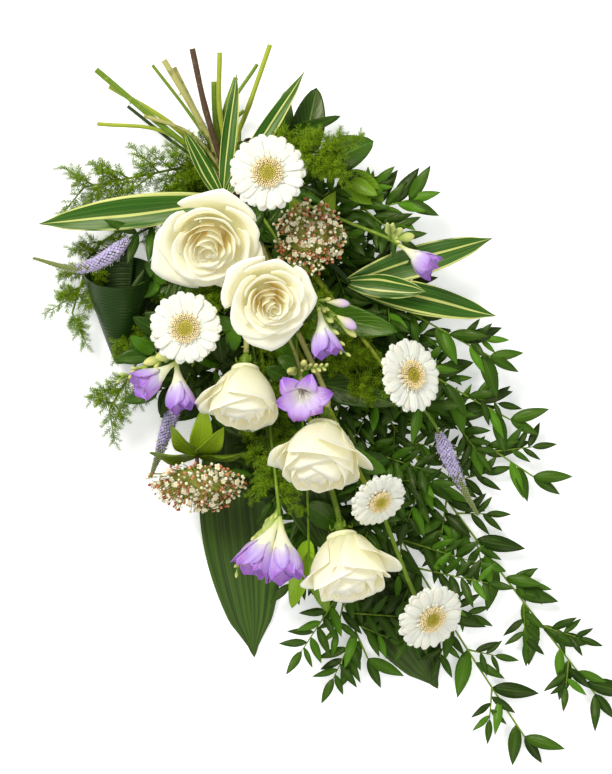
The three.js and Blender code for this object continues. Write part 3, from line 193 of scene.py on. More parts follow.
SALALS = [
    dict(
        route=[v3(40, 26, 50), v3(70, 40, 56), v3(96, 30, 60), v3(120, -8, 62)],
        leaves=[
            (0.6, v3(88, 88, 52), 34), (0.75, v3(146, 32, 60), 36), (0.7, v3(116, -2, 72), 26),
            (0.95, v3(156, -30, 62), 32), (0.45, v3(56, 84, 50), 20), (0.3, v3(110, 54, 84), 16),
        ],
    ),
    dict(
        route=[v3(50, -100, 44), v3(100, -190, 58), v3(104, -270, 54), v3(84, -350, 50), v3(80, -390, 50)],
        leaves=[
            (0.36, v3(168, -160, 70), 34), (0.46, v3(46, -176, 66), 30), (0.54, v3(168, -232, 72), 30),
            (0.62, v3(54, -236, 60), 30), (0.7, v3(158, -300, 58), 30), (0.78, v3(24, -306, 56), 28),
            (0.86, v3(120, -360, 46), 26), (0.95, v3(62, -440, 50), 22), (0.98, v3(100, -446, 40), 20),
        ],
    ),
]
CONE = dict(
    apex=v3(-112, -196, 14), mouth=v3(-114, -92, 42), radius=33,
    stalk=v3(-106, -183, 17), stalk_way=v3(-0.5, -0.8, 0.05),
)
# The bundle's rows from the table up: each stem's name, its radius and where it is cut, if that shows
ROWS = [
    [("cone", 2, None), ("aspidistra_1", 2, None), ("aspidistra_2", 2, None), ("aspidistra_3", 2, None)],
    [(f"ruscus_{number}", 1.6, None) for number in range(7, 0, -1)],
    [
        ("asparagus_2", 1.6, None), ("asparagus_3", 1.6, None), ("asparagus_5", 1.6, None),
        ("asparagus_6", 1.6, None), ("salal_2", 2, None), ("dracaena_2", 2.8, None),
        ("viburnum_1", 2.2, None),
    ],
    [
        ("veronica_1", 1.7, v3(-104, 70, 22)), ("dracaena_1", 2.8, None), ("asparagus_4", 1.6, None),
        ("veronica_2", 1.7, v3(-79, 112, 20)), ("viburnum_2", 2.2, v3(0, 82, 20)),
        ("freesia_5", 1.9, v3(14, 66, 20)), ("veronica_3", 1.7, None), ("freesia_1", 1.9, None),
    ],
    [
        ("asparagus_1", 1.6, None), ("freesia_4", 2, v3(-134, 51, 34)),
        ("gerbera_2", 2.5, v3(-122, 89, 32)), ("rose_3", 3, v3(-57, 108, 30)),
        ("rose_5", 3, v3(-16, 94, 30)), ("gerbera_5", 2.5, v3(6, 98, 30)), ("gerbera_3", 2.5, None),
        ("salal_1", 2, None),
    ],
    [
        ("rose_1", 3, v3(-134, 104, 48)), ("freesia_3", 1.9, v3(-86, 58, 46)),
        ("rose_4", 3, v3(-66, 114, 44)), ("gerbera_4", 2.5, v3(-10, 122, 42)),
        ("freesia_2", 1.9, v3(28, 110, 44)), ("asparagus_7", 1.6, None),
    ],
    [("rose_2", 3, v3(-37, 124, 56)), ("gerbera_1", 2.5, v3(41, 128, 56))],
]
# The stems that leave the tie towards the cut ends
BACKWARD = ("asparagus_1", "asparagus_7", "salal_1")


def dice(seed):
    """The source's repeatable draw of numbers from 0 to 1."""
    state = seed

    def roll():
        nonlocal state
        state = (state * 16807) % 2147483647
        return state / 2147483647

    return roll


def frame_at(point, facing, side=Vector((1, 0, 0))):
    """A frame at a point, with its +Z along facing and its +X as near to side as that allows."""
    z = facing.normalized()
    x = (side - z * side.dot(z)).normalized()
    made = Matrix((x, z.cross(x), z)).transposed().to_4x4()
    made.translation = point
    return made


def leaf_frame(point, out):
    """A leaf's frame: it grows along its +X, with its upper face turned up."""
    ahead = out.normalized()
    return frame_at(point, UP - ahead * ahead.z, ahead)


def bend(start, heading, end, arriving, count, pull=0.4):
    """Points of the smooth curve that leaves start along heading and arrives at end along arriving."""
    reach = (end - start).length * pull
    a = start + heading * reach
    b = end - arriving * min(reach, LONGEST_NECK)
    points = []
    for step in range(1, count + 1):
        t = step / count
        s = 1 - t
        points.append(start * s**3 + a * (3 * s * s * t) + b * (3 * s * t * t) + end * t**3)
    return points


def smooth(points, share):
    """The point part of the way along a centripetal Catmull-Rom curve."""
    last = len(points) - 1
    place = share * last
    i = min(int(place), last - 1)
    t = place - i
    p1, p2 = points[i], points[i + 1]
    p0 = points[i - 1] if i > 0 else p1 * 2 - points[1]
    p3 = points[i + 2] if i + 2 <= last else points[last] * 2 - points[last - 1]
    d0, d1, d2 = ((b - a).length_squared ** 0.25 for a, b in ((p0, p1), (p1, p2), (p2, p3)))
    d1 = 1 if d1 < 1e-4 else d1
    d0 = d1 if d0 < 1e-4 else d0
    d2 = d1 if d2 < 1e-4 else d2
    m1 = ((p1 - p0) / d0 - (p2 - p0) / (d0 + d1) + (p2 - p1) / d1) * d1
    m2 = ((p2 - p1) / d1 - (p3 - p1) / (d1 + d2) + (p3 - p2) / d2) * d1
    return p1 + m1 * t + (p1 * -3 + p2 * 3 - m1 * 2 - m2) * t**2 + (p1 * 2 - p2 * 2 + m1 + m2) * t**3


def pack_bundle():
    """Each stem's place across the tie and above the table, its radius and its cut end."""
    slots = {}
    floor = TWINE + TIE_ROOM
    for row in ROWS:
        tallest = max(radius for _, radius, _ in row)
        left = -(sum(2 * radius + CLEARANCE for _, radius, _ in row) - CLEARANCE) / 2
        for name, radius, cut in row:
            slots[name] = (left + radius, floor + tallest, radius, cut)
            left += 2 * radius + CLEARANCE
        floor += 2 * tallest + CLEARANCE
    return slots


SLOTS = pack_bundle()


class Stem:
    """A stem as a line of points with a radius. A firm point stays where it is."""

    def __init__(self, name, far, firm_end, firm_lead=0):
        points = cut_side(name)[1]
        in_tie = len(points) - 2
        self.name = name
        self.points = points + far
        self.radius = SLOTS[name][2]
        self.end_radius = None
        count = len(self.points)
        self.firm = [
            i == 0 or in_tie <= i <= in_tie + 1 + firm_lead or i >= count - firm_end for i in range(count)
        ]
        STEMS[name] = self

    def can_move(self, i):
        return not (self.firm[i] and self.firm[i + 1])


class Block:
    """A firm line through a head that keeps the stems off, with its radius at both ends."""

    def __init__(self, name, a, b, radius, end_radius):
        self.name, self.points, self.radius, self.end_radius = name, [a, b], radius, end_radius

    def can_move(self, i):
        return False


STEMS = {}


def cut_side(name):
    """The way that a stem leaves the tie, and its points from its cut end to there."""
    offset, height, _, cut = SLOTS[name]
    backward = name in BACKWARD
    middle = ACROSS * offset + UP * height
    half = TIE_LENGTH / 2 + 2
    entry, leaving = middle - ALONG * half, middle + ALONG * half
    if backward:
        entry, leaving = leaving, entry
    away = (entry - leaving).normalized()
    short = entry + away * (BACK_CUT if backward else SHORT_CUT) + ACROSS * (0 if backward else offset * 0.9)
    end = cut or short
    tail = bend(entry, away, end, (end - entry).normalized(), 2 if cut else 1, 0.3)
    return -away, [p.copy() for p in reversed(tail)] + [entry, leaving]


def lay_to(name, end, arriving, count=5):
    """Lays a stem from the tie to an end, where it arrives along a given way."""
    away, points = cut_side(name)
    direction = arriving.normalized()
    before = end - direction * 12
    Stem(name, bend(points[-1], away, before, direction, count - 1) + [end.copy()], 2)


def lay_through(name, route, count=7):
    """Lays a spray's stem from the tie along a route."""
    away, points = cut_side(name)
    aside = SLOTS[name][0] * 0.6 if name in BACKWARD else 0
    lead = points[-1] + away * LEAD + ACROSS * aside
    curve = [lead, *route]
    Stem(name, [lead.copy()] + [smooth(curve, step / count) for step in range(1, count + 1)], 0, 1)


def nearest(a, b, c, d):
    """How far along each of two straight lengths they come nearest, from 0 to 1."""
    u, v, w = b - a, d - c, a - c
    uu, uv, vv, uw, vw = u.dot(u), u.dot(v), v.dot(v), u.dot(w), v.dot(w)
    flat = uu * vv - uv * uv
    s = 0.5 if flat < 1e-9 else min(1, max(0, (uv * vw - vv * uw) / flat))
    t = min(1, max(0, (uv * s + vw) / vv))
    return min(1, max(0, (uv * t - uw) / uu)), t


def give_way(line, i, share, push):
    """Pushes the two points of a length, each by its share in the place that is pushed."""
    if not line.can_move(i):
        return
    low = 0 if line.firm[i] else 1 - share
    high = 0 if line.firm[i + 1] else share
    whole = max(0.25, low * low + high * high)
    line.points[i] += push * (low / whole)
    line.points[i + 1] += push * (high / whole)


def keep_apart(one, i, other, j):
    """Pushes two lengths apart by what they lack."""
    s, t = nearest(one.points[i], one.points[i + 1], other.points[j], other.points[j + 1])
    between = one.points[i].lerp(one.points[i + 1], s) - other.points[j].lerp(other.points[j + 1], t)
    distance = between.length
    girth = other.radius
    if other.end_radius:
        girth += (other.end_radius - other.radius) * t
    missing = one.radius + girth + ROOM - distance
    if missing <= 0:
        return
    way = between / distance if distance > 0.05 else UP.copy()
    part = 0.5 if one.can_move(i) and other.can_move(j) else 1
    give_way(one, i, s, way * (missing * part))
    give_way(other, j, t, way * (-missing * part))


def settle_stems(blocks):
    """Where two stems, or a stem and a head, come too close, both give way; then each evens out."""
    lines = [*STEMS.values(), *blocks]
    parts = [(k, i) for k, line in enumerate(lines) for i in range(len(line.points) - 1)]
    owner = np.array([k for k, _ in parts])
    girth = np.array([max(lines[k].radius, lines[k].end_radius or 0) for k, _ in parts])
    moves = np.array([lines[k].can_move(i) for k, i in parts])
    names = np.array([lines[k].name for k, _ in parts])
    worth = (owner[:, None] < owner[None]) & (owner[:, None] < len(STEMS)) & (names[:, None] != names[None])
    worth &= moves[:, None] | moves[None]
    room = girth[:, None] + girth[None] + ROOM
    travel = FAR
    for turn in range(ROUNDS):
        start = np.array([lines[k].points[i] for k, i in parts])
        stop = np.array([lines[k].points[i + 1] for k, i in parts])
        middle, half = (start + stop) / 2, np.linalg.norm(stop - start, axis=1) / 2
        gap = np.linalg.norm(middle[:, None] - middle[None], axis=2) - half[:, None] - half[None]
        near = np.argwhere(worth & (gap < room + travel))
        order = np.lexsort((near[:, 1], near[:, 0], owner[near[:, 1]], owner[near[:, 0]]))
        pairs = near[order]
        at = 0
        for k, stem in enumerate(STEMS.values()):
            while at < len(pairs) and owner[pairs[at][0]] == k:
                first, second = pairs[at]
                keep_apart(stem, parts[first][1], lines[parts[second][0]], parts[second][1])
                at += 1
            for i, p in enumerate(stem.points):
                p.z = max(p.z, stem.radius)
                if stem.firm[i] or i + 1 == len(stem.points) or turn > EVENING_ROUNDS:
                    continue
                stem.points[i] = p.lerp((stem.points[i - 1] + stem.points[i + 1]) * 0.5, EVENING)
        after = np.array([lines[k].points[i] for k, i in parts])
        travel = FAR if turn < 6 else max(4.0, 4 * float(np.abs(after - start).max()))


def rose_end(rose):
    return rose["base"] - rose["facing"].normalized() * CLEARANCE


def gerbera_end(gerbera):
    return gerbera["face"] - gerbera["facing"].normalized() * 9.5


def freesia_end(freesia):
    return freesia["base"] - freesia["arriving"].normalized() * (2.4 + CLEARANCE)


def viburnum_base(viburnum):
    return viburnum["face"] - viburnum["facing"].normalized() * (VIBURNUM_HEIGHT * viburnum["size"])


def viburnum_end(viburnum):
    return viburnum_base(viburnum) - viburnum["facing"].normalized() * CLEARANCE


def head_blocks():
    """The lines through the heads, the spikes and the rolled leaf that the stems keep off."""
    blocks = []
    for k, rose in enumerate(ROSES, 1):
        size = rose["size"]
        low, high = (rose["base"] + rose["facing"].normalized() * (h * size) for h in (6, ROSE_DEPTH))
        blocks.append(Block(f"rose_{k}", low, high, 15 * size, (40 if rose["cupped"] else 46) * size))
    for k, gerbera in enumerate(GERBERAS, 1):
        turned = frame_at(gerbera["face"], gerbera["facing"]).to_3x3()
        for side in (turned.col[0], turned.col[1]):
            reach = side * (30 * gerbera["size"])
            blocks.append(Block(f"gerbera_{k}", gerbera["face"] - reach, gerbera["face"] + reach, 6, 6))
    for k, freesia in enumerate(FREESIAS, 1):
        size = freesia["size"]
        for facing in freesia["facings"]:
            low, high = (freesia["base"] + facing.normalized() * (h * size) for h in (10, 40))
            blocks.append(Block(f"freesia_{k}", low, high, 3.5 * size, 17 * size))
    for k, spike in enumerate(VERONICAS, 1):
        for a, b in zip(spike, spike[1:]):
            blocks.append(Block(f"veronica_{k}", a, b, 8.5, 8))
    for k, viburnum in enumerate(VIBURNUMS, 1):
        size = viburnum["size"]
        reaches = (viburnum["facing"].normalized() * (h * size) for h in (4, VIBURNUM_HEIGHT - 8))
        low, high = (viburnum_base(viburnum) + reach for reach in reaches)
        blocks.append(Block(f"viburnum_{k}", low, high, 8 * size, 36 * size))
    blocks.append(Block("cone", CONE["apex"], CONE["mouth"], 8, CONE["radius"] * 1.24))
    return blocks


def lay_stems():
    for k, rose in enumerate(ROSES, 1):
        lay_to(f"rose_{k}", rose_end(rose) - rose["facing"].normalized() * 10, rose["facing"])
    for k, gerbera in enumerate(GERBERAS, 1):
        lay_to(f"gerbera_{k}", gerbera_end(gerbera), gerbera["facing"])
    for k, freesia in enumerate(FREESIAS, 1):
        lay_to(f"freesia_{k}", freesia_end(freesia), freesia["arriving"])
    for k, spike in enumerate(VERONICAS, 1):
        way = (spike[1] - spike[0]).normalized()
        lay_to(f"veronica_{k}", spike[0] + way * 5, way)
    for k, viburnum in enumerate(VIBURNUMS, 1):
        facing = viburnum["facing"]
        lay_to(f"viburnum_{k}", viburnum_end(viburnum) - facing.normalized() * 4, facing)
    for k, (route, _) in enumerate(RUSCUS, 1):
        lay_through(f"ruscus_{k}", route)
    for k, (route, _) in enumerate(FERNS, 1):
        lay_through(f"asparagus_{k}", route, 6)
    for k, salal in enumerate(SALALS, 1):
        lay_through(f"salal_{k}", salal["route"], 4 + k)
    for k, leaf in enumerate(ASPIDISTRAS, 1):
        reach = leaf["tip"] - leaf["root"]
        lay_to(f"aspidistra_{k}", leaf["root"] + reach * 0.05, reach, 4)
    lay_to("cone", CONE["stalk"], CONE["stalk_way"], 4)
    for k, rosette in enumerate(STRIPED, 1):
        lay_to(f"dracaena_{k}", rosette["end"], rosette["arriving"], 4)
    settle_stems(head_blocks())


lay_stems()


# Shader maths written as expressions
class Tone:
    """A shader value or colour. Arithmetic on it adds Math nodes to its look."""

    def __init__(self, look, socket):
        self.look, self.socket = look, socket

    def __add__(self, other):
        return self.look.maths("ADD", self, other)

    def __sub__(self, other):
        return self.look.maths("SUBTRACT", self, other)

    def __rsub__(self, other):
        return self.look.maths("SUBTRACT", other, self)

    def __mul__(self, other):
        return self.look.maths("MULTIPLY", self, other)

    __radd__, __rmul__ = __add__, __mul__

    def wave(self):
        return self.look.maths("SINE", self, 0)

    def size(self):
        return self.look.maths("ABSOLUTE", self, 0)

    def between(self, low, high):
        """0 up to low and 1 from high, with an eased rise in between."""
        return self.look.node(
            "ShaderNodeMapRange",
            {"interpolation_type": "SMOOTHSTEP"},
            {"Value": self, "From Min": low, "From Max": high},
            "Result",
        )


class Look:
    """A material on its Principled shader, with its constants on the shader's own sockets."""

    def __init__(self, name, **constants):
        self.material = bpy.data.materials.new(name)
        self.material.use_nodes = True
        self.tree = self.material.node_tree
        self.shader = self.tree.nodes["Principled BSDF"]
        for socket, value in constants.items():
            title = socket.replace("_", " ").title().replace("Ior", "IOR")
            self.shader.inputs[title].default_value = value
        place = self.tree.nodes.new("ShaderNodeTexCoord")
        self.object_place = Tone(self, place.outputs["Object"])
        parts = self.node("ShaderNodeSeparateXYZ", {}, {"Vector": Tone(self, place.outputs["UV"])}, None)
        self.u, self.v = Tone(self, parts.outputs["X"]), Tone(self, parts.outputs["Y"])
        island = self.tree.nodes.new("ShaderNodeNewGeometry")
        self.own = Tone(self, island.outputs["Random Per Island"])

    def node(self, kind, settings, values, output):
        """A node with its settings and its sockets' values or links. It gives the output that is named, or
        the node itself where None is."""
        made = self.tree.nodes.new(kind)
        for name, value in settings.items():
            setattr(made, name, value)
        for name, value in values.items():
            if isinstance(value, Tone):
                self.tree.links.new(value.socket, made.inputs[name])
            else:
                made.inputs[name].default_value = value
        return made if output is None else Tone(self, made.outputs[output])

    def maths(self, operation, a, b):
        return self.node("ShaderNodeMath", {"operation": operation}, {0: a, 1: b}, 0)

    def mix(self, share, a, b):
        a, b = ((*c, 1) if isinstance(c, tuple) else c for c in (a, b))
        return self.node("ShaderNodeMix", {"data_type": "RGBA"}, {0: share, 6: a, 7: b}, 2)

    def noise(self, scale, detail=2.0, place=None):
        values = {"Vector": place or self.object_place, "Scale": scale, "Detail": detail}
        return self.node("ShaderNodeTexNoise", {}, values, 0)

    def stretched(self, across, along):
        """Places for a pattern that follows the blade: so many cells across it and along it."""
        values = {0: self.u * across, 1: self.v * along, 2: self.own * 9}
        return self.node("ShaderNodeCombineXYZ", {}, values, 0)

    def paint(self, color, rough=None, height=None, strength=0.3, depth=0.5, glow=0.0):
        """Glow is an emission in the surface's own colour. On a thin petal it is painted light, standing in
        for the light that comes through the petal.
        """
        self.tree.links.new(color.socket, self.shader.inputs["Base Color"])
        if glow:
            self.tree.links.new(color.socket, self.shader.inputs["Emission Color"])
            self.shader.inputs["Emission Strength"].default_value = glow
        if rough is not None:
            self.tree.links.new(rough.socket, self.shader.inputs["Roughness"])
        if height is not None:
            values = {"Height": height, "Strength": strength, "Distance": depth * MM}
            bump = self.node("ShaderNodeBump", {}, values, 0)
            self.tree.links.new(bump.socket, self.shader.inputs["Normal"])
        return self.material


# How light goes into petals, and how a leaf's skin throws it back: warm, so that it doesn't turn grey
TEPAL_LIGHT = dict(specular_ior_level=0.3, subsurface_weight=0.2, subsurface_scale=0.004)
RAY_LIGHT = dict(specular_ior_level=0.25, subsurface_weight=0.15, subsurface_scale=0.003)
LEAF_SHINE = (1, 0.95, 0.5, 1)
LEAF_GLOSS = dict(specular_ior_level=0.28, specular_tint=LEAF_SHINE, coat_roughness=0.2)
FULL_WAVE = 6.283
STRAIGHT_ACROSS = 0.001


def rose_look(name, base_and_crevice_shade, body_tone, low, rise):
    """A petal that is deeper in colour towards its base, partly its own warmer base and partly painted shade
    for the crevices between petals, where those bases show. Its paler rim is a painted highlight where the
    rims catch the light, and it has fine veins. Rise is where, along the petal, the deep colour begins to
    give way to its body's and where it ends."""
    look = Look(name, roughness=0.5, specular_ior_level=0.3, subsurface_weight=0.25, subsurface_scale=0.006)
    look.shader.inputs["Subsurface Radius"].default_value = (1.0, 0.8, 0.45)
    # Towards the base the body deepens: the petal's own warmer base and painted shade for the crevices
    # between petals
    body = look.mix(look.v.between(*rise), base_and_crevice_shade, body_tone)
    body = look.mix(look.v.between(rise[0] - 0.25, rise[0]), low, body)
    # The paler rim is a painted highlight, where the petals' rims catch the light
    body = look.mix(look.v.between(0.9, 1.0) * 0.8, body, (0.95, 0.93, 0.78))
    body = look.mix(look.noise(45).between(0.45, 0.75) * 0.3, body, (0.84, 0.85, 0.56))
    veins = look.noise(1.0, 1.0, look.stretched(40, 3))
    # The glow is painted light, for the light that comes through the thin petal
    return look.paint(body, height=veins + look.noise(150) * 0.3, strength=0.16, depth=0.4, glow=0.1)


def ray_look():
    look = Look("white_ray", roughness=0.55, **RAY_LIGHT)
    ribs = (look.u * 31).wave() * 0.4 + look.noise(1.0, 1.0, look.stretched(16, 2)) * 0.5
    body = look.mix(look.v.between(0.0, 0.4), (0.86, 0.74, 0.46), (0.87, 0.845, 0.74))
    body = look.mix(look.own * 0.35, body, (0.82, 0.78, 0.62))
    # The faint glow is painted light, for the light that comes through the thin ray
    return look.paint(body, height=ribs, strength=0.35, depth=0.5, glow=0.03)


def growth_look(name, base, tip, spread, dark, rough=0.6, **constants):
    """Small growth whose colour runs from its base to its tip and differs from one to the next."""
    look = Look(name, roughness=rough, specular_ior_level=0.3, **constants)
    body = look.mix(look.v.between(0.1, 0.9), base, tip)
    body = look.mix(look.own * spread, body, dark)
    return look.paint(body, height=look.noise(900), strength=0.15, depth=0.3)


def freesia_look():
    """A tepal that is cream at its foot, lilac above, and deeper at its tip and edges."""
    look = Look("lilac_tepal", roughness=0.45, **TEPAL_LIGHT)
    streaks = look.noise(1.0, 2.0, look.stretched(24, 2))
    rise = look.v + (streaks - 0.5) * 0.35
    body = look.mix(rise.between(0.05, 0.5), (0.9, 0.86, 0.72), (0.66, 0.47, 0.8))
    body = look.mix(rise.between(0.42, 0.98), body, (0.34, 0.13, 0.6))
    edge = (look.u * 2 - 1).size()
    body = look.mix(edge.between(0.7, 1.0) * 0.4, body, (0.3, 0.11, 0.54))
    pale_streaks = look.noise(1.0, 0.0, look.stretched(13, 0.8)).between(0.58, 0.7)
    body = look.mix(pale_streaks * 0.4, body, (0.78, 0.62, 0.88))
    body = look.mix(look.own * 0.45 * look.v, body, (0.27, 0.11, 0.5))
    # The faint glow is painted light, for the light that comes through the thin tepal
    return look.paint(body, height=streaks, strength=0.35, depth=0.4, glow=0.05)


def bell_tube_look():
    look = Look("cream_tube", roughness=0.5, **TEPAL_LIGHT)
    body = look.mix(look.v.between(0.0, 0.4), (0.5, 0.58, 0.14), (0.88, 0.84, 0.62))
    body = look.mix(look.v.between(0.5, 0.8) * 0.45, body, (0.74, 0.6, 0.84))
    return look.paint(body, height=look.noise(300), strength=0.15, depth=0.3)


def blade_look(name, dark, light, veins, rough, coat, vein_tone, rib_tone=0.5):
    """A leaf blade: veins is how its side veins run, (number, slant). A slant of 0 runs them along the
    blade, and the least one straight across it."""
    look = Look(name, coat_weight=coat, **LEAF_GLOSS)
    number, slant = veins
    middle = (look.u - 0.5).size()
    lines = (((look.v if slant else look.u) * number - middle * slant) * FULL_WAVE).wave()
    fine = look.noise(1.0, 2.0, look.stretched(60, 4))
    pale = tuple(min(1, c * 2 + 0.01) for c in light)
    body = look.mix(look.own * 0.65 + look.noise(28) * 0.35, dark, light)
    body = look.mix(look.own.between(0.8, 1.0) * 0.5, body, tuple(c * 2.3 for c in light))
    body = look.mix(lines.between(0.75, 1.0) * vein_tone, body, pale)
    body = look.mix((0.03 - middle).between(0.0, 0.02) * rib_tone, body, pale)
    body = look.mix(look.noise(9).between(0.6, 0.8) * 0.35, body, tuple(c * 0.5 for c in dark))
    relief = lines.between(0.4, 1.0) * -0.7 + fine * 0.5 + (0.05 - middle).between(0.0, 0.05) * -1.2
    satin = look.noise(45) * 0.2 + (rough - 0.08)
    return look.paint(body, rough=satin, height=relief, strength=0.45, depth=0.6)


def striped_look():
    """A dark blade with a broken cream margin and a few broad uneven stripes."""
    look = Look("striped_blade", coat_weight=0.12, **LEAF_GLOSS)
    middle = (look.u - 0.5).size()
    drift = (look.noise(1.0, 1.0, look.stretched(2, 1.3)) - 0.5) * 0.4
    stripe = (((look.u + drift * 0.7) * 2.1 + look.own) * FULL_WAVE).wave()
    body = look.mix(look.noise(1.0, 1.0, look.stretched(14, 1)), (0.008, 0.045, 0.004), (0.04, 0.16, 0.01))
    body = look.mix(stripe.between(0.86, 0.95) * 0.9, body, (0.66, 0.68, 0.2))
    body = look.mix(((look.u + drift * 0.4) * 47).wave().between(0.9, 1.0) * 0.35, body, (0.2, 0.34, 0.05))
    broken = look.noise(1.0, 2.0, look.stretched(1.5, 3)).between(0.36, 0.56)
    body = look.mix((middle + drift * 0.3).between(0.43, 0.46) * broken * 0.9, body, (0.66, 0.7, 0.22))
    fine = look.noise(1.0, 2.0, look.stretched(60, 3))
    return look.paint(body, rough=look.noise(45) * 0.2 + 0.24, height=fine, strength=0.4, depth=0.5)


def stalk_look(name, body_tone, mark_tone, marks, rough=0.42):
    """A stem: fine fibres along it, and marks of another colour."""
    look = Look(name, specular_ior_level=0.4, specular_tint=LEAF_SHINE)
    body = look.mix(look.noise(35) * 0.7, body_tone, tuple(c * 0.55 for c in body_tone))
    body = look.mix(look.noise(140, 3.0).between(0.55, 0.68) * marks, body, mark_tone)
    satin = look.noise(90) * 0.25 + (rough - 0.1)
    return look.paint(body, rough=satin, height=look.noise(420), strength=0.3, depth=0.4)


def strap_look():
    """A broad satin blade with fine parallel veins and uneven long lighter streaks, which are painted sheen.
    """
    look = Look(
        "aspidistra_blade", specular_ior_level=0.35, specular_tint=LEAF_SHINE, coat_weight=0.2,
        coat_roughness=0.35,
    )
    streaks = look.noise(1.0, 2.0, look.stretched(24, 1.2))
    veins = look.noise(1.0, 1.0, look.stretched(90, 1))
    # The lighter long streaks are painted sheen: the bands of satin shine along the blade
    body = look.mix(streaks.between(0.3, 0.7), (0.01, 0.034, 0.002), (0.045, 0.115, 0.008))
    body = look.mix(veins.between(0.55, 0.75) * 0.45, body, (0.09, 0.18, 0.02))
    body = look.mix(look.noise(12).between(0.5, 0.8) * 0.5, body, (0.004, 0.02, 0.001))
    satin = look.noise(30) * 0.2 + 0.32
    return look.paint(body, rough=satin, height=veins + streaks, strength=0.5, depth=0.7)


def twine_look():
    look = Look("jute", roughness=0.9, specular_ior_level=0.1)
    fibres = look.noise(700, 3.0)
    body = look.mix(fibres, (0.16, 0.1, 0.04), (0.55, 0.38, 0.18))
    return look.paint(body, height=fibres, strength=0.7, depth=0.8)


LOOKS = {
    # A rose look's first colour, its deep one, is partly the petal's own warmer base and partly painted
    # shade for the crevices between petals
    "ivory": rose_look(
        "ivory_petal", (0.89, 0.85, 0.52), (0.93, 0.895, 0.68), (0.68, 0.72, 0.3), (0.25, 0.9),
    ),
    # The heart's petals deepen to a darker gold towards their bases: partly their own colour, partly painted
    # shade for the deep crevices between them
    "ivory_heart": rose_look(
        "golden_shaded_heart_petal", (0.89, 0.75, 0.3), (0.93, 0.89, 0.66), (0.74, 0.52, 0.1), (0.36, 0.84),
    ),
    "ray": ray_look(),
    "lilac": freesia_look(),
    "tube": bell_tube_look(),
    "needle": growth_look(
        "fern_needle", (0.065, 0.185, 0.002), (0.33, 0.5, 0.008), 0.55, (0.025, 0.09, 0.002),
        specular_tint=LEAF_SHINE,
    ),
    "striped": striped_look(),
    "aspidistra": strap_look(),
    "jute": twine_look(),
}

# Small growth: its colours at the base and at the tip, how far one differs from the next, towards which
# colour, and its roughness where it isn't the usual
for key, *values in (
    ("fringe", "peach_fringe", (0.84, 0.64, 0.24), (0.95, 0.83, 0.5), 0.3, (0.88, 0.66, 0.28)),
    ("disc", "disc_floret", (0.58, 0.46, 0.04), (0.9, 0.78, 0.22), 0.35, (0.6, 0.5, 0.06)),
    ("disc_heart", "disc_heart", (0.44, 0.36, 0.015), (0.8, 0.66, 0.08), 0.4, (0.44, 0.4, 0.03)),
    ("bud", "freesia_bud", (0.2, 0.34, 0.04), (0.72, 0.7, 0.24), 0.35, (0.22, 0.38, 0.06), 0.45),
    ("lilac_bud", "lilac_bud", (0.6, 0.64, 0.22), (0.6, 0.4, 0.78), 0.25, (0.85, 0.78, 0.6), 0.45),
    ("stamen", "stamen", (0.8, 0.78, 0.6), (0.9, 0.88, 0.76), 0.1, (0.02, 0.05, 0.01)),
    ("lavender", "veronica_floret", (0.5, 0.43, 0.68), (0.68, 0.62, 0.84), 0.5, (0.36, 0.28, 0.56)),
    ("grey_bud", "veronica_bud", (0.2, 0.24, 0.1), (0.56, 0.56, 0.5), 0.4, (0.2, 0.28, 0.08)),
    ("floret", "viburnum_floret", (0.86, 0.8, 0.5), (0.96, 0.94, 0.86), 0.6, (0.8, 0.66, 0.26)),
    ("salmon", "viburnum_bud", (0.44, 0.11, 0.03), (0.76, 0.36, 0.16), 0.8, (0.3, 0.06, 0.02)),
    ("pedicel", "pedicel", (0.16, 0.22, 0.02), (0.42, 0.44, 0.08), 0.35, (0.1, 0.1, 0.01)),
):
    LOOKS[key] = growth_look(*values)

# Blades: dark and light green, side veins, roughness, coat, and how strongly the veins and midrib show
RIBS = (46, STRAIGHT_ACROSS)
for key, *values in (
    ("ruscus", "ruscus_blade", (0.002, 0.012, 0.001), (0.05, 0.14, 0.004), (5, 0), 0.34, 0.07, 0.12, 0.3),
    ("rolled", "rolled_leaf_blade", (0.003, 0.02, 0.002), (0.02, 0.07, 0.005), RIBS, 0.34, 0.12, 0.4, 0),
    ("salal", "salal_blade", (0.003, 0.02, 0.001), (0.045, 0.13, 0.004), (9, 7), 0.28, 0.12, 0.2),
    ("young", "young_blade", (0.06, 0.15, 0.004), (0.19, 0.34, 0.01), (9, 7), 0.3, 0.12, 0.2),
    ("olive", "viburnum_blade", (0.05, 0.11, 0.003), (0.2, 0.29, 0.012), (8, 6), 0.4, 0.08, 0.3),
):
    LOOKS[key] = blade_look(*values)

# Stems: body and mark colours, how strongly the marks show, and roughness
for key, *values in (
    ("green", "green_stem", (0.17, 0.29, 0.02), (0.34, 0.42, 0.07), 0.4),
    ("lime", "lime_stem", (0.4, 0.48, 0.04), (0.22, 0.31, 0.02), 0.35),
    ("yellow", "yellow_stem", (0.5, 0.48, 0.16), (0.22, 0.2, 0.06), 0.7),
    ("brown", "brown_stem", (0.1, 0.05, 0.035), (0.2, 0.16, 0.09), 0.6, 0.6),
    ("dark", "dark_stem", (0.03, 0.07, 0.02), (0.09, 0.1, 0.04), 0.5, 0.5),
    ("cut", "cut_face", (0.55, 0.58, 0.3), (0.4, 0.42, 0.16), 0.4, 0.8),
):
    LOOKS[key] = stalk_look(*values)


# Meshes that are used many times
def laid_out(bm, look):
    """Gives a mesh the UV map that its looks follow, from the place that each corner keeps."""
    bmesh.ops.recalc_face_normals(bm, faces=bm.faces)
    place = bm.verts.layers.float_vector["place"]
    uv = bm.loops.layers.uv.new("UVMap")
    for face in bm.faces:
        face.smooth = True
        face.material_index = look
        for loop in face.loops:
            loop[uv].uv = loop.vert[place].xy
    mesh = bpy.data.meshes.new("form")
    bm.to_mesh(mesh)
    bm.free()
    return mesh


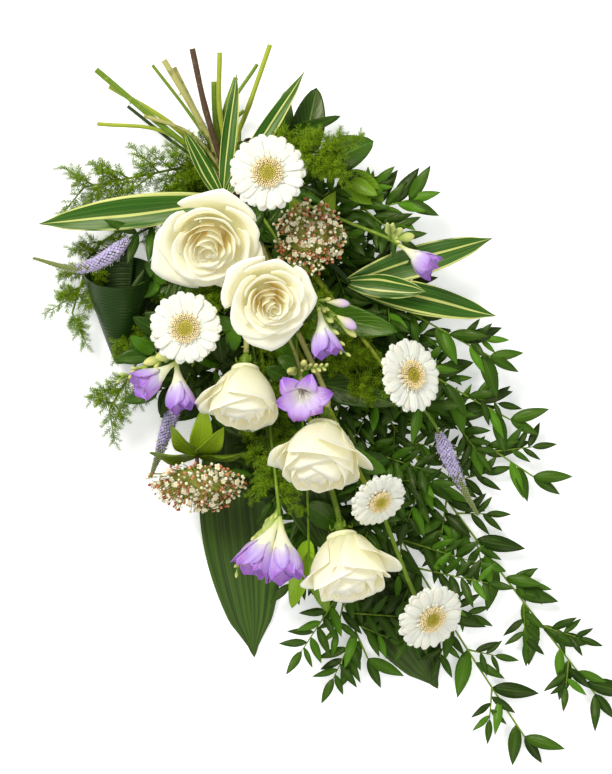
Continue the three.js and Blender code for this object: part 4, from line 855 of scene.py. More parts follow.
def sheet(shape, across, along, thickness, look=0):
    """A thin closed blade: shape(u, v) places it, with u from -1 to 1 across and v from 0 to 1 along."""
    bm = bmesh.new()
    place = bm.verts.layers.float_vector.new("place")
    bmesh.ops.create_grid(bm, x_segments=across, y_segments=along, size=1)
    for vert in bm.verts:
        u, v = vert.co.x, (vert.co.y + 1) / 2
        vert[place] = (u / 2 + 0.5, v, 0)
        vert.co = shape(u, v)
    bmesh.ops.solidify(bm, geom=bm.faces[:], thickness=thickness)
    return laid_out(bm, look)


def turned(profile, sides, look=0):
    """A round skin about Z through pairs of radius and height. Look is its place in its piece's looks."""
    bm = bmesh.new()
    place = bm.verts.layers.float_vector.new("place")
    chain = []
    for k, (radius, height) in enumerate(profile):
        chain.append(bm.verts.new((radius, 0, height)))
        chain[-1][place] = (0, k / (len(profile) - 1), 0)
    edges = [bm.edges.new(pair) for pair in zip(chain, chain[1:])]
    bmesh.ops.spin(
        bm, geom=chain + edges, axis=(0, 0, 1), cent=(0, 0, 0), steps=sides, angle=FULL_TURN, use_merge=True
    )
    bmesh.ops.remove_doubles(bm, verts=bm.verts, dist=1e-3)
    return laid_out(bm, look)


def with_look(mesh, look):
    """A copy of a form in another of its piece's looks."""
    copy = mesh.copy()
    for face in copy.polygons:
        face.material_index = look
    return copy


def stalk(points, radii, sides, look=0, cut_look=None):
    """A round stem along points. Its cut face, at the first point, may have its own look."""
    curve = bpy.data.curves.new("stalk", "CURVE")
    curve.dimensions = "3D"
    curve.bevel_depth = 1
    curve.bevel_resolution = (sides - 4) // 2
    curve.use_fill_caps = True
    spline = curve.splines.new("POLY")
    spline.points.add(len(points) - 1)
    for spot, p, radius in zip(spline.points, points, radii):
        spot.co = (*p, 1)
        spot.radius = radius
    carrier = bpy.data.objects.new("stalk", curve)
    mesh = bpy.data.meshes.new_from_object(carrier)
    bpy.data.objects.remove(carrier)
    bpy.data.curves.remove(curve)
    for face in mesh.polygons:
        capped = len(face.vertices) > 4 and (face.center - points[0]).length < radii[0]
        face.material_index = cut_look if capped and cut_look is not None else look
        face.use_smooth = len(face.vertices) == 4
    return mesh


def eased(points, per):
    """A smooth line through points, with so many steps for each length."""
    steps = per * (len(points) - 1)
    return [smooth(points, step / steps) for step in range(steps + 1)]


# The lowest that anything lies, and how near to a solid's corner a leaf's tip shows how the leaf was laid
ON_TABLE = 0.15
ON_CORNER = 1.5


class Piece:
    """Everything that stands for one node, gathered in one mesh."""

    def __init__(self):
        self.bm = bmesh.new()
        self.bm.loops.layers.uv.new("UVMap")

    def add(self, mesh, matrix=Matrix()):
        copy = mesh.copy()
        copy.transform(matrix)
        self.bm.from_mesh(copy)
        bpy.data.meshes.remove(copy)

    def gathered(self, name):
        mesh = bpy.data.meshes.new(name)
        self.bm.to_mesh(mesh)
        self.bm.free()
        return mesh

    def finish(self, name, slot, looks, *nodes):
        """Keeps all of it above the table and puts it in the place of its nodes."""
        for vert in self.bm.verts:
            vert.co.z = max(vert.co.z, ON_TABLE)
        mesh = self.gathered(name)
        mesh.transform(scaled(MM))
        for look in looks:
            mesh.materials.append(LOOKS[look])
        piece = bpy.data.objects.new(name, mesh)
        bpy.context.scene.collection.objects.link(piece)
        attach(piece, "root")
        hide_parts(*nodes)


class Solid:
    """The corners of a node's solid, which show how each of its leaves was laid."""

    def __init__(self, node):
        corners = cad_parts[node].data.vertices
        self.tree = KDTree(len(corners))
        for i, corner in enumerate(corners):
            self.tree.insert(corner.co / MM, i)
        self.tree.balance()

    def way(self, ways, tip_of):
        """The way that puts a leaf's tip on a corner, or None where the leaf was left out."""
        found = min(ways, key=lambda way: self.tree.find(tip_of(way))[2])
        return found if self.tree.find(tip_of(found))[2] < ON_CORNER else None


def part_way(points, share):
    """A point part of the way along straight lengths, and the way that it runs there."""
    lengths = [(b - a).length for a, b in zip(points, points[1:])]
    rest = share * sum(lengths)
    i = 0
    while i + 1 < len(lengths) and rest > lengths[i]:
        rest -= lengths[i]
        i += 1
    tangent = (points[i + 1] - points[i]).normalized()
    return points[i] + tangent * rest, tangent


def spun(angle):
    return Matrix.Rotation(angle, 4, "Z")


def tipped(angle):
    return Matrix.Rotation(angle, 4, "Y")


def moved(x, y, z):
    return Matrix.Translation((x, y, z))


def turned_about(axis, angle):
    return Matrix.Rotation(angle, 3, axis)


def scaled(factor):
    return Matrix.Scale(factor, 4)


# Stems: those that aren't green
STEM_TONES = {
    "brown": ("rose_2", "viburnum_1", "viburnum_2", "salal_1"),
    "yellow": ("rose_3", "rose_4", "freesia_3"),
    "lime": ("gerbera_1", "gerbera_2", "gerbera_3", "gerbera_4", "freesia_4"),
    "dark": ("veronica_1",),
}
# Every so many points a stem swells to a low ring
RING_EVERY = 11
RING = 1.09


def tone_of(name):
    for tone, names in STEM_TONES.items():
        if name in names:
            return tone
    return "green"


PATHS = {name: eased(stem.points, 5) for name, stem in STEMS.items()}


def beyond_tie(name):
    return STEMS[name].points[2:]


def on_path(name, point):
    """The place on a stem's smooth line that is nearest to a point."""
    return min(PATHS[name], key=lambda p: (p - point).length_squared)


def root_on(name, points, share):
    """A place on a stem's smooth line, part of the way along some of its points, and the way it runs."""
    point, tangent = part_way(points, share)
    return on_path(name, point), tangent


def side_of(tangent, k):
    """The level way to the left of a stem where k is even, and to its right where k is odd."""
    return v3(-tangent.y, tangent.x, 0).normalized() * (1 if k % 2 == 0 else -1)


def add_stem(piece, name, sides, end_share, cut_look=1):
    """A node's stem, a little uneven and thinner towards its far end."""
    points = PATHS[name]
    radius = STEMS[name].radius
    last = len(points) - 1
    radii = []
    for k in range(last + 1):
        ring = RING if k % RING_EVERY == RING_EVERY // 2 else 1
        radii.append(radius * (1 - (1 - end_share) * k / last) * ring * (1 + 0.03 * math.sin(k * 1.3)))
    piece.add(stalk(points, radii, sides, 0, cut_look))


# Leaves and shoots: how wide a leaf is along itself, from 0 to 1
def oval_width(v):
    return math.sin(math.pi * v**0.78) ** 0.62 if 0 < v < 1 else 0.0


def lance_width(v):
    return math.sin(math.pi * v**0.8) ** 0.9 if 0 < v < 1 else 0.0


def strap_width(v):
    swell = math.sin(math.pi * min(1, v * 1.02 + 0.02) ** 0.95) ** 0.8
    return (0.2 + 0.8 * swell) * min(1, (1 - v) * 7) ** 0.5


# How wide a leaf is at its foot, beside its full width
LEAF_FOOT = 0.03


def leaf_form(length, width, arch, profile, fine, fold, wave, thickness, look, twist=0.0, serrated=0.0):
    """A leaf along +X with its upper face up. Its edges wave a little and its midrib lies lower. Arch is
    how far its tip hangs, fold how deep its midrib lies, and fine its faces across and along."""
    rows = fine[1]

    def shape(u, v):
        half = max(profile(v), LEAF_FOOT * (1 - v)) * width / 2
        if round(v * rows) % 2:
            half *= 1 + serrated
        z = -arch * length * v * v + fold * width * u * u * profile(v)
        z += wave * math.sin(v * 11 + 2 * u) * u * abs(u)
        turn = twist * v
        y = u * half
        return v3(length * v, y * math.cos(turn), z + y * math.sin(turn))

    return sheet(shape, *fine, thickness, look)


def add_laid_leaf(piece, solid, start, tip, raises, back, width, arch, *habit):
    """A leaf to its tip, raised as the solid's was. Its foot lies a share of its length back from start,
    and habit is the rest of what leaf_form takes."""

    def reach_of(way):
        return tip - start + UP * way

    def place_of(way):
        return leaf_frame(start - reach_of(way) * back, reach_of(way))

    def tip_of(way):
        length = reach_of(way).length
        return place_of(way) @ v3(length, 0, -arch * length)

    way = solid.way(raises, tip_of)
    if way is not None:
        piece.add(leaf_form(reach_of(way).length, width, arch, *habit), place_of(way))


def add_shoot(piece, root, way, reach, leaves, size, roll, forms):
    """A side shoot with leaves set alternately along it and one at its tip."""
    across = way.cross(UP).normalized()
    tip = root + way * reach
    bow = [root.copy(), root.lerp(tip, 0.5) + UP * (reach * 0.05), tip]
    line = eased(bow, 4)
    piece.add(stalk(line, [1.1 - 0.08 * i for i in range(len(line))], 5, 0))
    for k in range(leaves):
        share = 0.18 + 0.8 * (k + 0.5) / leaves
        side = across * (1 if k % 2 else -1)
        out = way * roll.uniform(0.5, 0.9) + side * roll.uniform(0.6, 1.1) + UP * roll.uniform(-0.1, 0.5)
        grown = size * roll.uniform(0.8, 1.15) * (1 - 0.25 * share)
        piece.add(forms[k % len(forms)], leaf_frame(smooth(bow, share), out) @ scaled(grown))
    piece.add(forms[0], leaf_frame(tip, way + UP * 0.1) @ scaled(size * 0.8))


# Where each kind's draws begin, here and in the part's source
SEEDS = dict(
    rose=500, rose_stem=520, gerbera=540, gerbera_stem=560, freesia=580, veronica=600, viburnum=620,
    viburnum_leaves=630, ruscus=640, asparagus=660,
)
SOURCE_SEEDS = dict(ruscus=100, asparagus=300)


def draws(kind, number):
    return random.Random(SEEDS[kind] + number)


# Roses
SEPALS = 5
SEPAL_DROOP = 19
THORN_EVERY = 3


def petal_at(ring, middle, tip, seed):
    """A petal of a rose's head: ring says how it opens, tip how its rim is drawn out to a point."""

    def shape(u, v):
        rise = v * (1 - ring["round"] * abs(u) ** 2.6) * (1 + tip * (1 - abs(u)) ** 2 * v)
        past = max(0.0, (rise - ring["turns"]) / (1 - ring["turns"]))
        curl = past**2 * ring["curl"] * (1 + 0.35 * abs(u) ** 2)
        opening = math.sin(min(1.85, rise * ring["close"]) * math.pi / 2) ** 0.9
        radius = ring["from"] + (ring["radius"] - ring["from"]) * opening + 1.6 * u + curl
        wave = 0.9 * math.sin(u * 3 + seed) * v * v + 0.5 * math.sin(u * 7 + seed * 2) * v**4
        radius += wave * ring["loose"]
        height = 7.4 + ring["height"] * rise**1.15 - 0.75 * curl - 0.8 * past**3 * abs(u)
        widening = 0.5 + 0.5 * math.sin(min(1, rise / 0.6) * math.pi / 2)
        angle = middle + math.radians(ring["spread"]) * u * widening
        return v3(radius * math.cos(angle), radius * math.sin(angle), height + wave * 0.4 * ring["loose"])

    return shape


# A ring says how a petal stands: the radius that it rises from, its full radius and height, how far it
# curls over and where along it that begins (turns), half the angle that it spans (spread), how soon it
# opens (close), how much it waves (loose) and how round its rim is
def closed_ring(s, uneven):
    """How a petal of a closed rose stands, with s from 0 at the heart to 1 at the outermost petal."""
    return {
        "from": 5 + 9 * s,
        "radius": 13 + 24 * s**0.9,
        "height": 60 - 14 * s**2 + uneven * 6 * s,
        "curl": 5.5 * s**4,
        "spread": 86 - 28 * s,
        "close": 1.78 - 0.7 * s**1.3,
        "loose": 0.4 + 1.6 * s,
        "turns": 0.78,
        "round": 0.1 + 0.1 * s,
    }


def open_ring(s, uneven):
    """How a petal of an open rose stands, with s as in a closed one."""
    return {
        "from": 3 + 11.5 * s,
        "radius": (4 + 38.5 * s**1.25) * (1 + 0.06 * uneven * (1 - s)),
        "height": 41 + 4 * math.sin(math.pi * s) - 6 * s * s + 2.6 * uneven,
        "curl": 0.6 + 8 * s**1.8,
        "spread": 84 - 36 * s**0.8,
        "close": 1.0,
        "loose": 0.9 + 0.9 * s,
        "turns": 0.66,
        "round": 0.12,
    }


# Each kind of rose: its petals' rings and number, the share of them that shows the heart's colour, a deeper
# gold that is partly painted shade, and how far the outermost are drawn out to a point
CLOSED = (closed_ring, 18, 0.3, 0.05)
OPEN = (open_ring, 26, 0.62, 0.11)
# A petal that has fallen open at the side of a closed rose
GUARD = {
    "from": 14,
    "radius": 38,
    "height": 46,
    "curl": 11,
    "spread": 38,
    "close": 0.95,
    "loose": 1.6,
    "turns": 0.4,
    "round": 0.22,
}
GUARD_TIP = 0.07


def make_rose(number, rose):
    roll = draws("rose", number)
    piece = Piece()
    place = frame_at(rose["base"], rose["facing"]) @ scaled(rose["size"])
    place @= Matrix.Scale(rose["breadth"], 4, (0, 1, 0))
    ring_of, count, heart_share, drawn_out = CLOSED if rose["cupped"] else OPEN
    rings = [ring_of(k / (count - 1), roll.uniform(-1, 1)) for k in range(count)]
    for k, ring in enumerate(rings):
        s = k / (count - 1)
        middle = math.radians(rose["spin"]) + k * GOLDEN_TURN + roll.uniform(-0.2, 0.2) * (2 - s)
        tip = 0.03 + drawn_out * s * s
        fine = (14, 12) if s > 0.3 else (16, 9)
        # Petals of the heart take its look, whose deeper gold is partly painted shade
        look = 0 if s > heart_share else 1
        shape = petal_at(ring, middle, tip, roll.uniform(0, 6))
        leaning = place @ Matrix.Translation(rose["heart"] * (1 - s) ** 1.2)
        piece.add(sheet(shape, *fine, thickness=0.24, look=look), leaning)
    for degrees in rose["guards"]:
        shape = petal_at(GUARD, math.radians(degrees), GUARD_TIP, roll.uniform(0, 6))
        piece.add(sheet(shape, 14, 14, thickness=0.26), place)
    heart = [(0.5, 3), (15, 4.5), (15.5, 7.6), (5, 14), (3.2, 30), (0, 34)]
    piece.add(turned(heart, 16, 0), place)
    piece.finish(f"rose_{number}_bloom", "rose_petals", ["ivory", "ivory_heart"], f"rose_head_{number}")


def sepal_shape(u, v):
    half = 3.6 * (1 - v) ** 0.7 * (0.65 + 0.35 * math.sin(v * 9))
    out = 6.8 + 9 * v - 2.5 * v * v
    return v3(out + 2.2 * abs(u) * (1 - v), u * half, 0.5 + 7 * v - SEPAL_DROOP * max(0, v - 0.3) ** 1.6)


def add_rose_leaf(piece, root, way, size, roll, forms):
    """A leaf of five toothed leaflets on a thin stalk."""
    across = way.cross(UP).normalized()
    tip = root + way * (34 * size)
    bow = [root.copy(), root.lerp(tip, 0.5) + UP * 1.5, tip]
    piece.add(stalk(eased(bow, 3), [1.0 - 0.08 * i for i in range(7)], 5, 2))
    piece.add(forms[0], leaf_frame(tip, way + UP * roll.uniform(-0.15, 0.15)) @ scaled(size))
    for share, grown in ((0.92, 0.84), (0.45, 0.74)):
        for side in (1, -1):
            out = way * roll.uniform(0.35, 0.6) + across * side + UP * roll.uniform(-0.1, 0.3)
            fitted = scaled(size * grown * roll.uniform(0.9, 1.1))
            piece.add(forms[1], leaf_frame(smooth(bow, share), out) @ fitted)


def make_rose_stem(number, rose):
    roll = draws("rose_stem", number)
    name = f"rose_{number}"
    piece = Piece()
    add_stem(piece, name, 12, 0.9)
    place = frame_at(rose_end(rose), rose["facing"])
    hip = [
        (0.1, -15), (2.7, -13), (3.0, -10.5), (5, -8.6), (6.5, -5), (5.6, -2.6), (4.8, -1.2), (7.2, -0.2),
        (0, 0.2),
    ]
    piece.add(turned(hip, 16, 2), place)
    sepal = sheet(sepal_shape, 4, 8, 0.5, 2)
    for k in range(SEPALS):
        turn = k * FULL_TURN / SEPALS + roll.uniform(-0.2, 0.2)
        piece.add(sepal, place @ spun(turn) @ moved(0, 0, -1.5) @ tipped(math.radians(roll.uniform(-8, 14))))
    thorn = turned([(1.6, 0), (0.9, 1.2), (0.35, 3), (0, 4.6)], 5, 0)
    path = PATHS[name]
    for k in range(THORN_EVERY, len(path) - 4, THORN_EVERY):
        way = (path[k + 1] - path[k]).normalized()
        side = turned_about(way, roll.uniform(0, 6.28)) @ way.orthogonal().normalized()
        piece.add(thorn, frame_at(path[k] + side * STEMS[name].radius * 0.8, side + way * 0.3))
    forms = [
        leaf_form(length, 22, 0.14, oval_width, (4, 12), 0.12, 0.9, 0.5, 3, serrated=0.07)
        for length in (38, 32)
    ]
    for k, share in enumerate(rose["leaves"]):
        root, tangent = root_on(name, beyond_tie(name), share)
        out = tangent * roll.uniform(0.2, 0.6) + side_of(tangent, k) * roll.uniform(0.8, 1.1)
        out.z = roll.uniform(-0.25, 0.05)
        size = roll.uniform(0.85, 1.05)
        add_rose_leaf(piece, root, out.normalized(), size, roll, forms)
    looks = [tone_of(name), "cut", "green", "salal"]
    piece.finish(f"rose_{number}_stalk", "green_stem", looks, f"rose_stem_{number}")


# Gerberas
def ray_shape(length, width, lift, droop, seed):
    """A broad ray with a blunt rounded end, two shallow grooves and a small notch."""

    def shape(u, v):
        body = 0.45 + 0.55 * math.sin(min(1, v * 1.3) * math.pi / 2)
        half = width / 2 * body * (1 - 0.35 * max(0, (v - 0.8) / 0.2) ** 2)
        x = 7 + (length - 7) * v - 2.6 * u * u * v**7 - 1.1 * math.exp(-9 * u * u) * v**12
        grooves = 0.34 * math.cos(u * math.pi * 2) - 0.55 * u * u
        z = lift * length * v + 1.2 * math.sin(v * math.pi) - droop * v * v + grooves * min(1, v * 3)
        return v3(x, u * half + 0.4 * math.sin(v * 4 + seed), z + 0.3 * math.sin(seed + v * 6))

    return shape


# Rows of rays: their number, length, lift, height and width. Rings of fringe: number, radius and size.
RAY_ROWS = ((22, 38, 0.06, 0, 11.4), (22, 36.5, 0.11, 0.8, 10.2), (18, 20, 0.24, 1.2, 4))
FRINGE_ROWS = ((28, 9.2, 0.9), (34, 10.8, 1.05), (40, 12.4, 1.1), (44, 14.0, 0.95))


def make_gerbera(number, gerbera):
    roll = draws("gerbera", number)
    piece = Piece()
    size = gerbera["size"]
    place = frame_at(gerbera["face"], gerbera["facing"])
    for count, length, lift, height, width in RAY_ROWS:
        forms = [
            sheet(ray_shape(length * size * f, width * size, lift, 1.5 * f, k * 2.1), 6, 7, 0.35)
            for k, f in enumerate((1, 0.97, 1.0, 0.95))
        ]
        for k in range(count):
            turn = (k + roll.uniform(-0.13, 0.13)) * FULL_TURN / count + height
            pitch = tipped(math.radians(roll.uniform(-3, 2)))
            roll_over = Matrix.Rotation(roll.uniform(-0.1, 0.1), 4, "X")
            form = forms[k % len(forms)]
            piece.add(form, place @ spun(turn) @ moved(0, 0, height) @ pitch @ roll_over)
    bead = turned([(0, -1), (0.5, -0.6), (0.45, 1.6), (0.85, 2.6), (0.7, 3.5), (0, 3.8)], 5, 1)
    for count, radius, grown in FRINGE_ROWS:
        for k in range(count):
            turn = (k + roll.uniform(-0.25, 0.25)) * FULL_TURN / count
            foot = spun(turn) @ v3(radius * size - 1, 0, 4.2)
            way = spun(turn) @ v3(0.25 + 0.05 * (radius - 9), 0, 1)
            scale = scaled(grown * size * roll.uniform(0.85, 1.15))
            piece.add(bead, place @ frame_at(foot, way) @ scale)
    piece.finish(f"gerbera_{number}_rays", "gerbera_petals", ["ray", "fringe"], f"gerbera_petals_{number}")


# How many florets a disc has and how far out its heart reaches, and how many scales its cup has
DISC_FLORETS = 120
DISC_HEART = 0.62
CUP_SCALES = 26


def make_gerbera_stem(number, gerbera):
    roll = draws("gerbera_stem", number)
    name = f"gerbera_{number}"
    size = gerbera["size"]
    piece = Piece()
    add_stem(piece, name, 12, 0.85)
    place = frame_at(gerbera["face"], gerbera["facing"])
    cup = [(0.1, -12), (2.4, -11), (7, -8), (10.2, -4), (10.6, -0.6), (8.6, 0.4), (8.8, 2), (6, 4), (0, 4.8)]
    piece.add(turned(cup, 24, 2), place)
    floret = turned([(0.42, 0), (0.5, 1.5), (0.75, 2.3), (0, 1.9)], 5, 3)
    inner_floret = with_look(floret, 4)
    for k in range(DISC_FLORETS):
        out = math.sqrt((k + 0.5) / DISC_FLORETS)
        radius = 8.7 * out * size
        height = 2.6 + 2.3 * (1 - out**2)
        turn = k * GOLDEN_TURN
        foot = v3(radius * math.cos(turn), radius * math.sin(turn), height)
        way = v3(foot.x * 0.05, foot.y * 0.05, 1)
        grown = (0.7 + 0.5 * out) * roll.uniform(0.85, 1.15)
        form = inner_floret if out < DISC_HEART else floret
        piece.add(form, place @ frame_at(foot, way) @ scaled(grown))
    scale = sheet(lambda u, v: v3(9.5 + 2.4 * v, u * 1.3 * (1 - v), -6 + 6.5 * v), 2, 3, 0.3, 2)
    for k in range(CUP_SCALES):
        row = k % 3
        fitted = moved(0, 0, -2.5 * row) @ scaled(0.98 - 0.09 * row)
        piece.add(scale, place @ spun(k * GOLDEN_TURN) @ fitted)
    piece.finish(
        f"gerbera_{number}_stalk", "gerbera_disc_and_stem",
        [tone_of(name), "cut", "pedicel", "disc", "disc_heart"], f"gerbera_stem_{number}",
    )


# Freesias
def tepal_shape(opened, inner, seed):
    """A broad tepal that leaves the tube's mouth: nearly closed in a bell, spread wide in an open flower."""

    def shape(u, v):
        if opened:
            out = 4.8 + 21.5 * v**1.15 - 1.5 * inner
            height = 21 + 19 * math.sin(min(1, v * 1.1) * math.pi / 2) - 8 * v**3 - 1.5 * inner * v
            half = 2.4 + 8.4 * math.sin(math.pi * min(1, v * 0.87) ** 0.92)
        else:
            out = 5.4 + 8.2 * math.sin(min(1, v * 1.2) * math.pi / 2) + 1.8 * v**5 - 1.6 * inner
            height = 19 + 27 * v - 1.5 * inner * v
            half = 4.6 + 6.6 * math.sin(math.pi * min(1, v * 0.86) ** 0.85)
            height -= 4.5 * u * u * v**5
        half *= (1 - 0.6 * max(0, (v - 0.8) / 0.2) ** 2.2) * (1 - 0.1 * inner)
        cup = (0.25 if opened else 0.42) * half * u * u
        wave = 0.8 * math.sin(u * 3 + seed) * v * v
        fold = -0.6 * math.exp(-30 * u * u)
        return v3(out - cup + wave + fold, u * half, height + 0.5 * wave + 1.2 * u * u * v)

    return shape


# A bell's tube, which folds back inside at its mouth
BELL_TUBE = [
    (1.6, 0), (2.2, 4), (2.7, 9), (4.6, 15), (7.2, 21), (8.2, 26), (7.5, 25.8), (6.2, 20), (1.4, 10),
]
TEPALS = 6
STAMENS = 3


def spindle(length, radius, look, sides):
    """A bud that swells out of its green cup and closes to a blunt point."""
    profile = [
        (0.5, 0), (1.3, 0.04), (radius * 0.42, 0.16), (radius * 0.62, 0.3), (radius * 0.86, 0.45),
        (radius, 0.6), (radius * 0.93, 0.74), (radius * 0.66, 0.88), (radius * 0.28, 0.97), (0, 1),
    ]
    return turned([(r, h * length) for r, h in profile], sides, look)


def make_freesia(number, freesia):
    roll = draws("freesia", number)
    piece = Piece()
    knob = [(0.3, -2.6), (1.9, -2.4), (2.5, -1), (2.3, 0.6), (0.6, 2)]
    piece.add(turned(knob, 10, 3), frame_at(freesia["base"], freesia["arriving"]))
    for facing in freesia["facings"]:
        place = frame_at(freesia["base"], facing) @ scaled(freesia["size"])
        opened = facing.z > 0.4
        piece.add(turned(BELL_TUBE, 18, 1), place)
        for k in range(TEPALS):
            shape = tepal_shape(opened, k % 2, roll.uniform(0, 6))
            swing = k * FULL_TURN / TEPALS + 0.2 + roll.uniform(-0.08, 0.08)
            piece.add(sheet(shape, 8, 12, 0.45), place @ spun(swing) @ tipped(roll.uniform(-0.05, 0.04)))
        for k in range(STAMENS):
            turn = spun(2.1 * k + 0.4)
            ends = [place @ (turn @ v3(out, 0, up)) for out, up in ((1.2, 18), (2.6, 29), (3.8, 36))]
            piece.add(stalk(ends, [0.4, 0.45, 0.9], 6, 2))
    looks = ["lilac", "tube", "stamen", "bud"]
    piece.finish(f"freesia_{number}_bells", "freesia_petals", looks, f"freesia_blooms_{number}")


# Further small buds, and the ways that the source tries for a bud's tip: how far up and how far aside
BUD_ROW = 7
BUD_WAYS = [(lift, aside) for lift in (0, 8, -8, 16, -16, 24) for aside in (0, 9, -9, 18, -18)]


def make_freesia_stem(number, freesia):
    name = f"freesia_{number}"
    node = f"freesia_stem_{number}"
    piece = Piece()
    add_stem(piece, name, 10, 0.85)
    solid = Solid(node)
    start = freesia_end(freesia) - freesia["arriving"].normalized() * 8
    small = spindle(10, 2.0, 3, 7)
    for k, tip in enumerate(freesia["buds"]):

        def end_of(way):
            return tip + UP * way[0] + ACROSS * way[1]

        way = solid.way(BUD_WAYS, end_of)
        end = end_of(way or (0, 0))
        reach = end - start
        length = min(22 * freesia["size"], reach.length)
        root = start + reach.normalized() * (reach.length - length)
        line = [start.copy(), start.lerp(root, 0.5) - UP * 0.6, root + reach.normalized()]
        piece.add(stalk(line, [1.1, 1.0, 0.9], 6, 0))
        for share in (0.3, 0.62):
            turn = turned_about(reach.normalized(), 2.4 * k + 6 * share)
            way = turn @ reach.orthogonal().normalized() * 0.5 + reach.normalized()
            piece.add(small, frame_at(start.lerp(root, share), way))
        girth = (5.2 - 0.9 * k) * freesia["size"] * freesia["girth"]
        look = 2 if k < freesia["lilac_buds"] else 3
        piece.add(spindle(length, girth, look, 10), frame_at(root, reach))
    spray = freesia["buds"][-1] - start
    rachis = [start.copy(), start + spray * 0.6 + UP * 5, start + spray * 1.15 + UP * 9]
    line = eased(rachis, 4)
    piece.add(stalk(line, [1.2 - 0.09 * i for i in range(len(line))], 6, 0))
    for k in range(BUD_ROW):
        share = 0.3 + 0.7 * k / (BUD_ROW - 1)
        out = spray.normalized() + spray.cross(UP).normalized() * (0.5 if k % 2 else -0.5) + UP * 0.35
        piece.add(small, frame_at(smooth(rachis, share), out) @ scaled(1.35 - 0.5 * share))
    piece.finish(f"freesia_{number}_stalk", "green_stem", [tone_of(name), "cut", "lilac_bud", "bud"], node)


# Veronicas
# A spike's florets, the share of its length up to which they are open, and where their hairs end
VERONICA_FLORETS = 460
OPEN_SHARE = 0.6
HAIRY_SHARE = 0.62


def spike_girth(share):
    return VERONICA_RADIUS * 1.1 * min(1, 0.45 + 3 * share) * (1 - 0.74 * share**1.8)


def make_veronica(number, spike):
    roll = draws("veronica", number)
    name = f"veronica_{number}"
    piece = Piece()
    add_stem(piece, name, 9, 0.8)
    core = eased(spike, 12)
    piece.add(stalk(core, [spike_girth(k / (len(core) - 1)) * 0.6 for k in range(len(core))], 8, 4))
    lip = turned([(0.35, 0), (0.9, 1.2), (1.7, 2.8), (0.25, 2.4)], 5, 2)
    bud = turned([(0.3, 0), (0.9, 1.1), (0.65, 2.2), (0, 2.9)], 5, 3)
    hair = turned([(0.14, 0), (0.12, 4.6), (0.4, 5.2), (0, 5.7)], 3, 6)
    for k in range(VERONICA_FLORETS):
        share = (k + 0.5) / VERONICA_FLORETS
        point = smooth(spike, share)
        way = (smooth(spike, min(1, share + 0.02)) - smooth(spike, max(0, share - 0.02))).normalized()
        side = turned_about(way, k * GOLDEN_TURN) @ way.orthogonal().normalized()
        girth = spike_girth(share)
        foot = point + side * girth * 0.55
        out = side + way * (0.35 + 0.5 * share) + v3(*(roll.uniform(-0.15, 0.15) for _ in range(3)))
        scale = scaled(max(0.4, girth / VERONICA_RADIUS) * roll.uniform(0.85, 1.25))
        open_here = share < OPEN_SHARE + roll.uniform(-0.12, 0.12)
        piece.add(lip if open_here else bud, frame_at(foot, out) @ scale)
        if share < HAIRY_SHARE and k % 2 == 0:
            piece.add(hair, frame_at(foot, out) @ scale)
    leaf = leaf_form(38, 10, 0.12, lance_width, (2, 9), 0.06, 0.8, 0.5, 5)
    for share in (0.5, 0.62, 0.74, 0.86):
        root, tangent = root_on(name, beyond_tie(name), share)
        for turn in (0, 1):
            aside = side_of(tangent, turn) * roll.uniform(0.7, 1.2)
            place = leaf_frame(root, tangent * 0.8 + aside + UP * roll.uniform(-0.1, 0.4))
            piece.add(leaf, place @ scaled(roll.uniform(0.8, 1.15)))
    piece.finish(
        f"veronica_{number}_spike", "veronica_florets",
        [tone_of(name), "cut", "lavender", "grey_bud", "pedicel", "ruscus", "stamen"], name,
    )


# Viburnums
# A head's florets, the share of them that is open at its top, and up to which the rest are cream buds
VIBURNUM_FLORETS = 360
LOBES = 5
STAR_SHARE = 0.3
CREAM_SHARE = 0.55
# Pairs of leaves along each viburnum's stem, and its side shoots by share, heading and reach
VIBURNUM_PAIRS = [3, 9]
VIBURNUM_SHOOTS = [
    [],
    [
        (0.1, 195, 62), (0.24, 212, 88), (0.34, 196, 92), (0.44, 205, 84), (0.58, 188, 74), (0.68, 198, 62),
        (0.34, -20, 60),
    ],
]
# The ways that the source tries for a leaf of the collar: how far down and how far round
VIBURNUM_WAYS = [(dip, swing) for dip in (0, 12, -12, 24, -24) for swing in (0, 14, -14, 28)]


def star_floret():
    """A white flower of rounded lobes round a short tube."""
    star = Piece()
    star.add(turned([(0.5, -1.4), (0.7, -0.4), (1.0, 0), (0, 0.3)], 5))

    def lobe_shape(u, v):
        width = 1.4 * math.sin(math.pi * (0.15 + 0.75 * v))
        return v3(0.5 + 2.6 * v, u * width, 0.5 * v - 0.5 * v * v + 0.25 * u * u)

    lobe = sheet(lobe_shape, 2, 2, 0.28)
    for k in range(LOBES):
        star.add(lobe, spun(k * FULL_TURN / LOBES))
    return star.gathered("star")


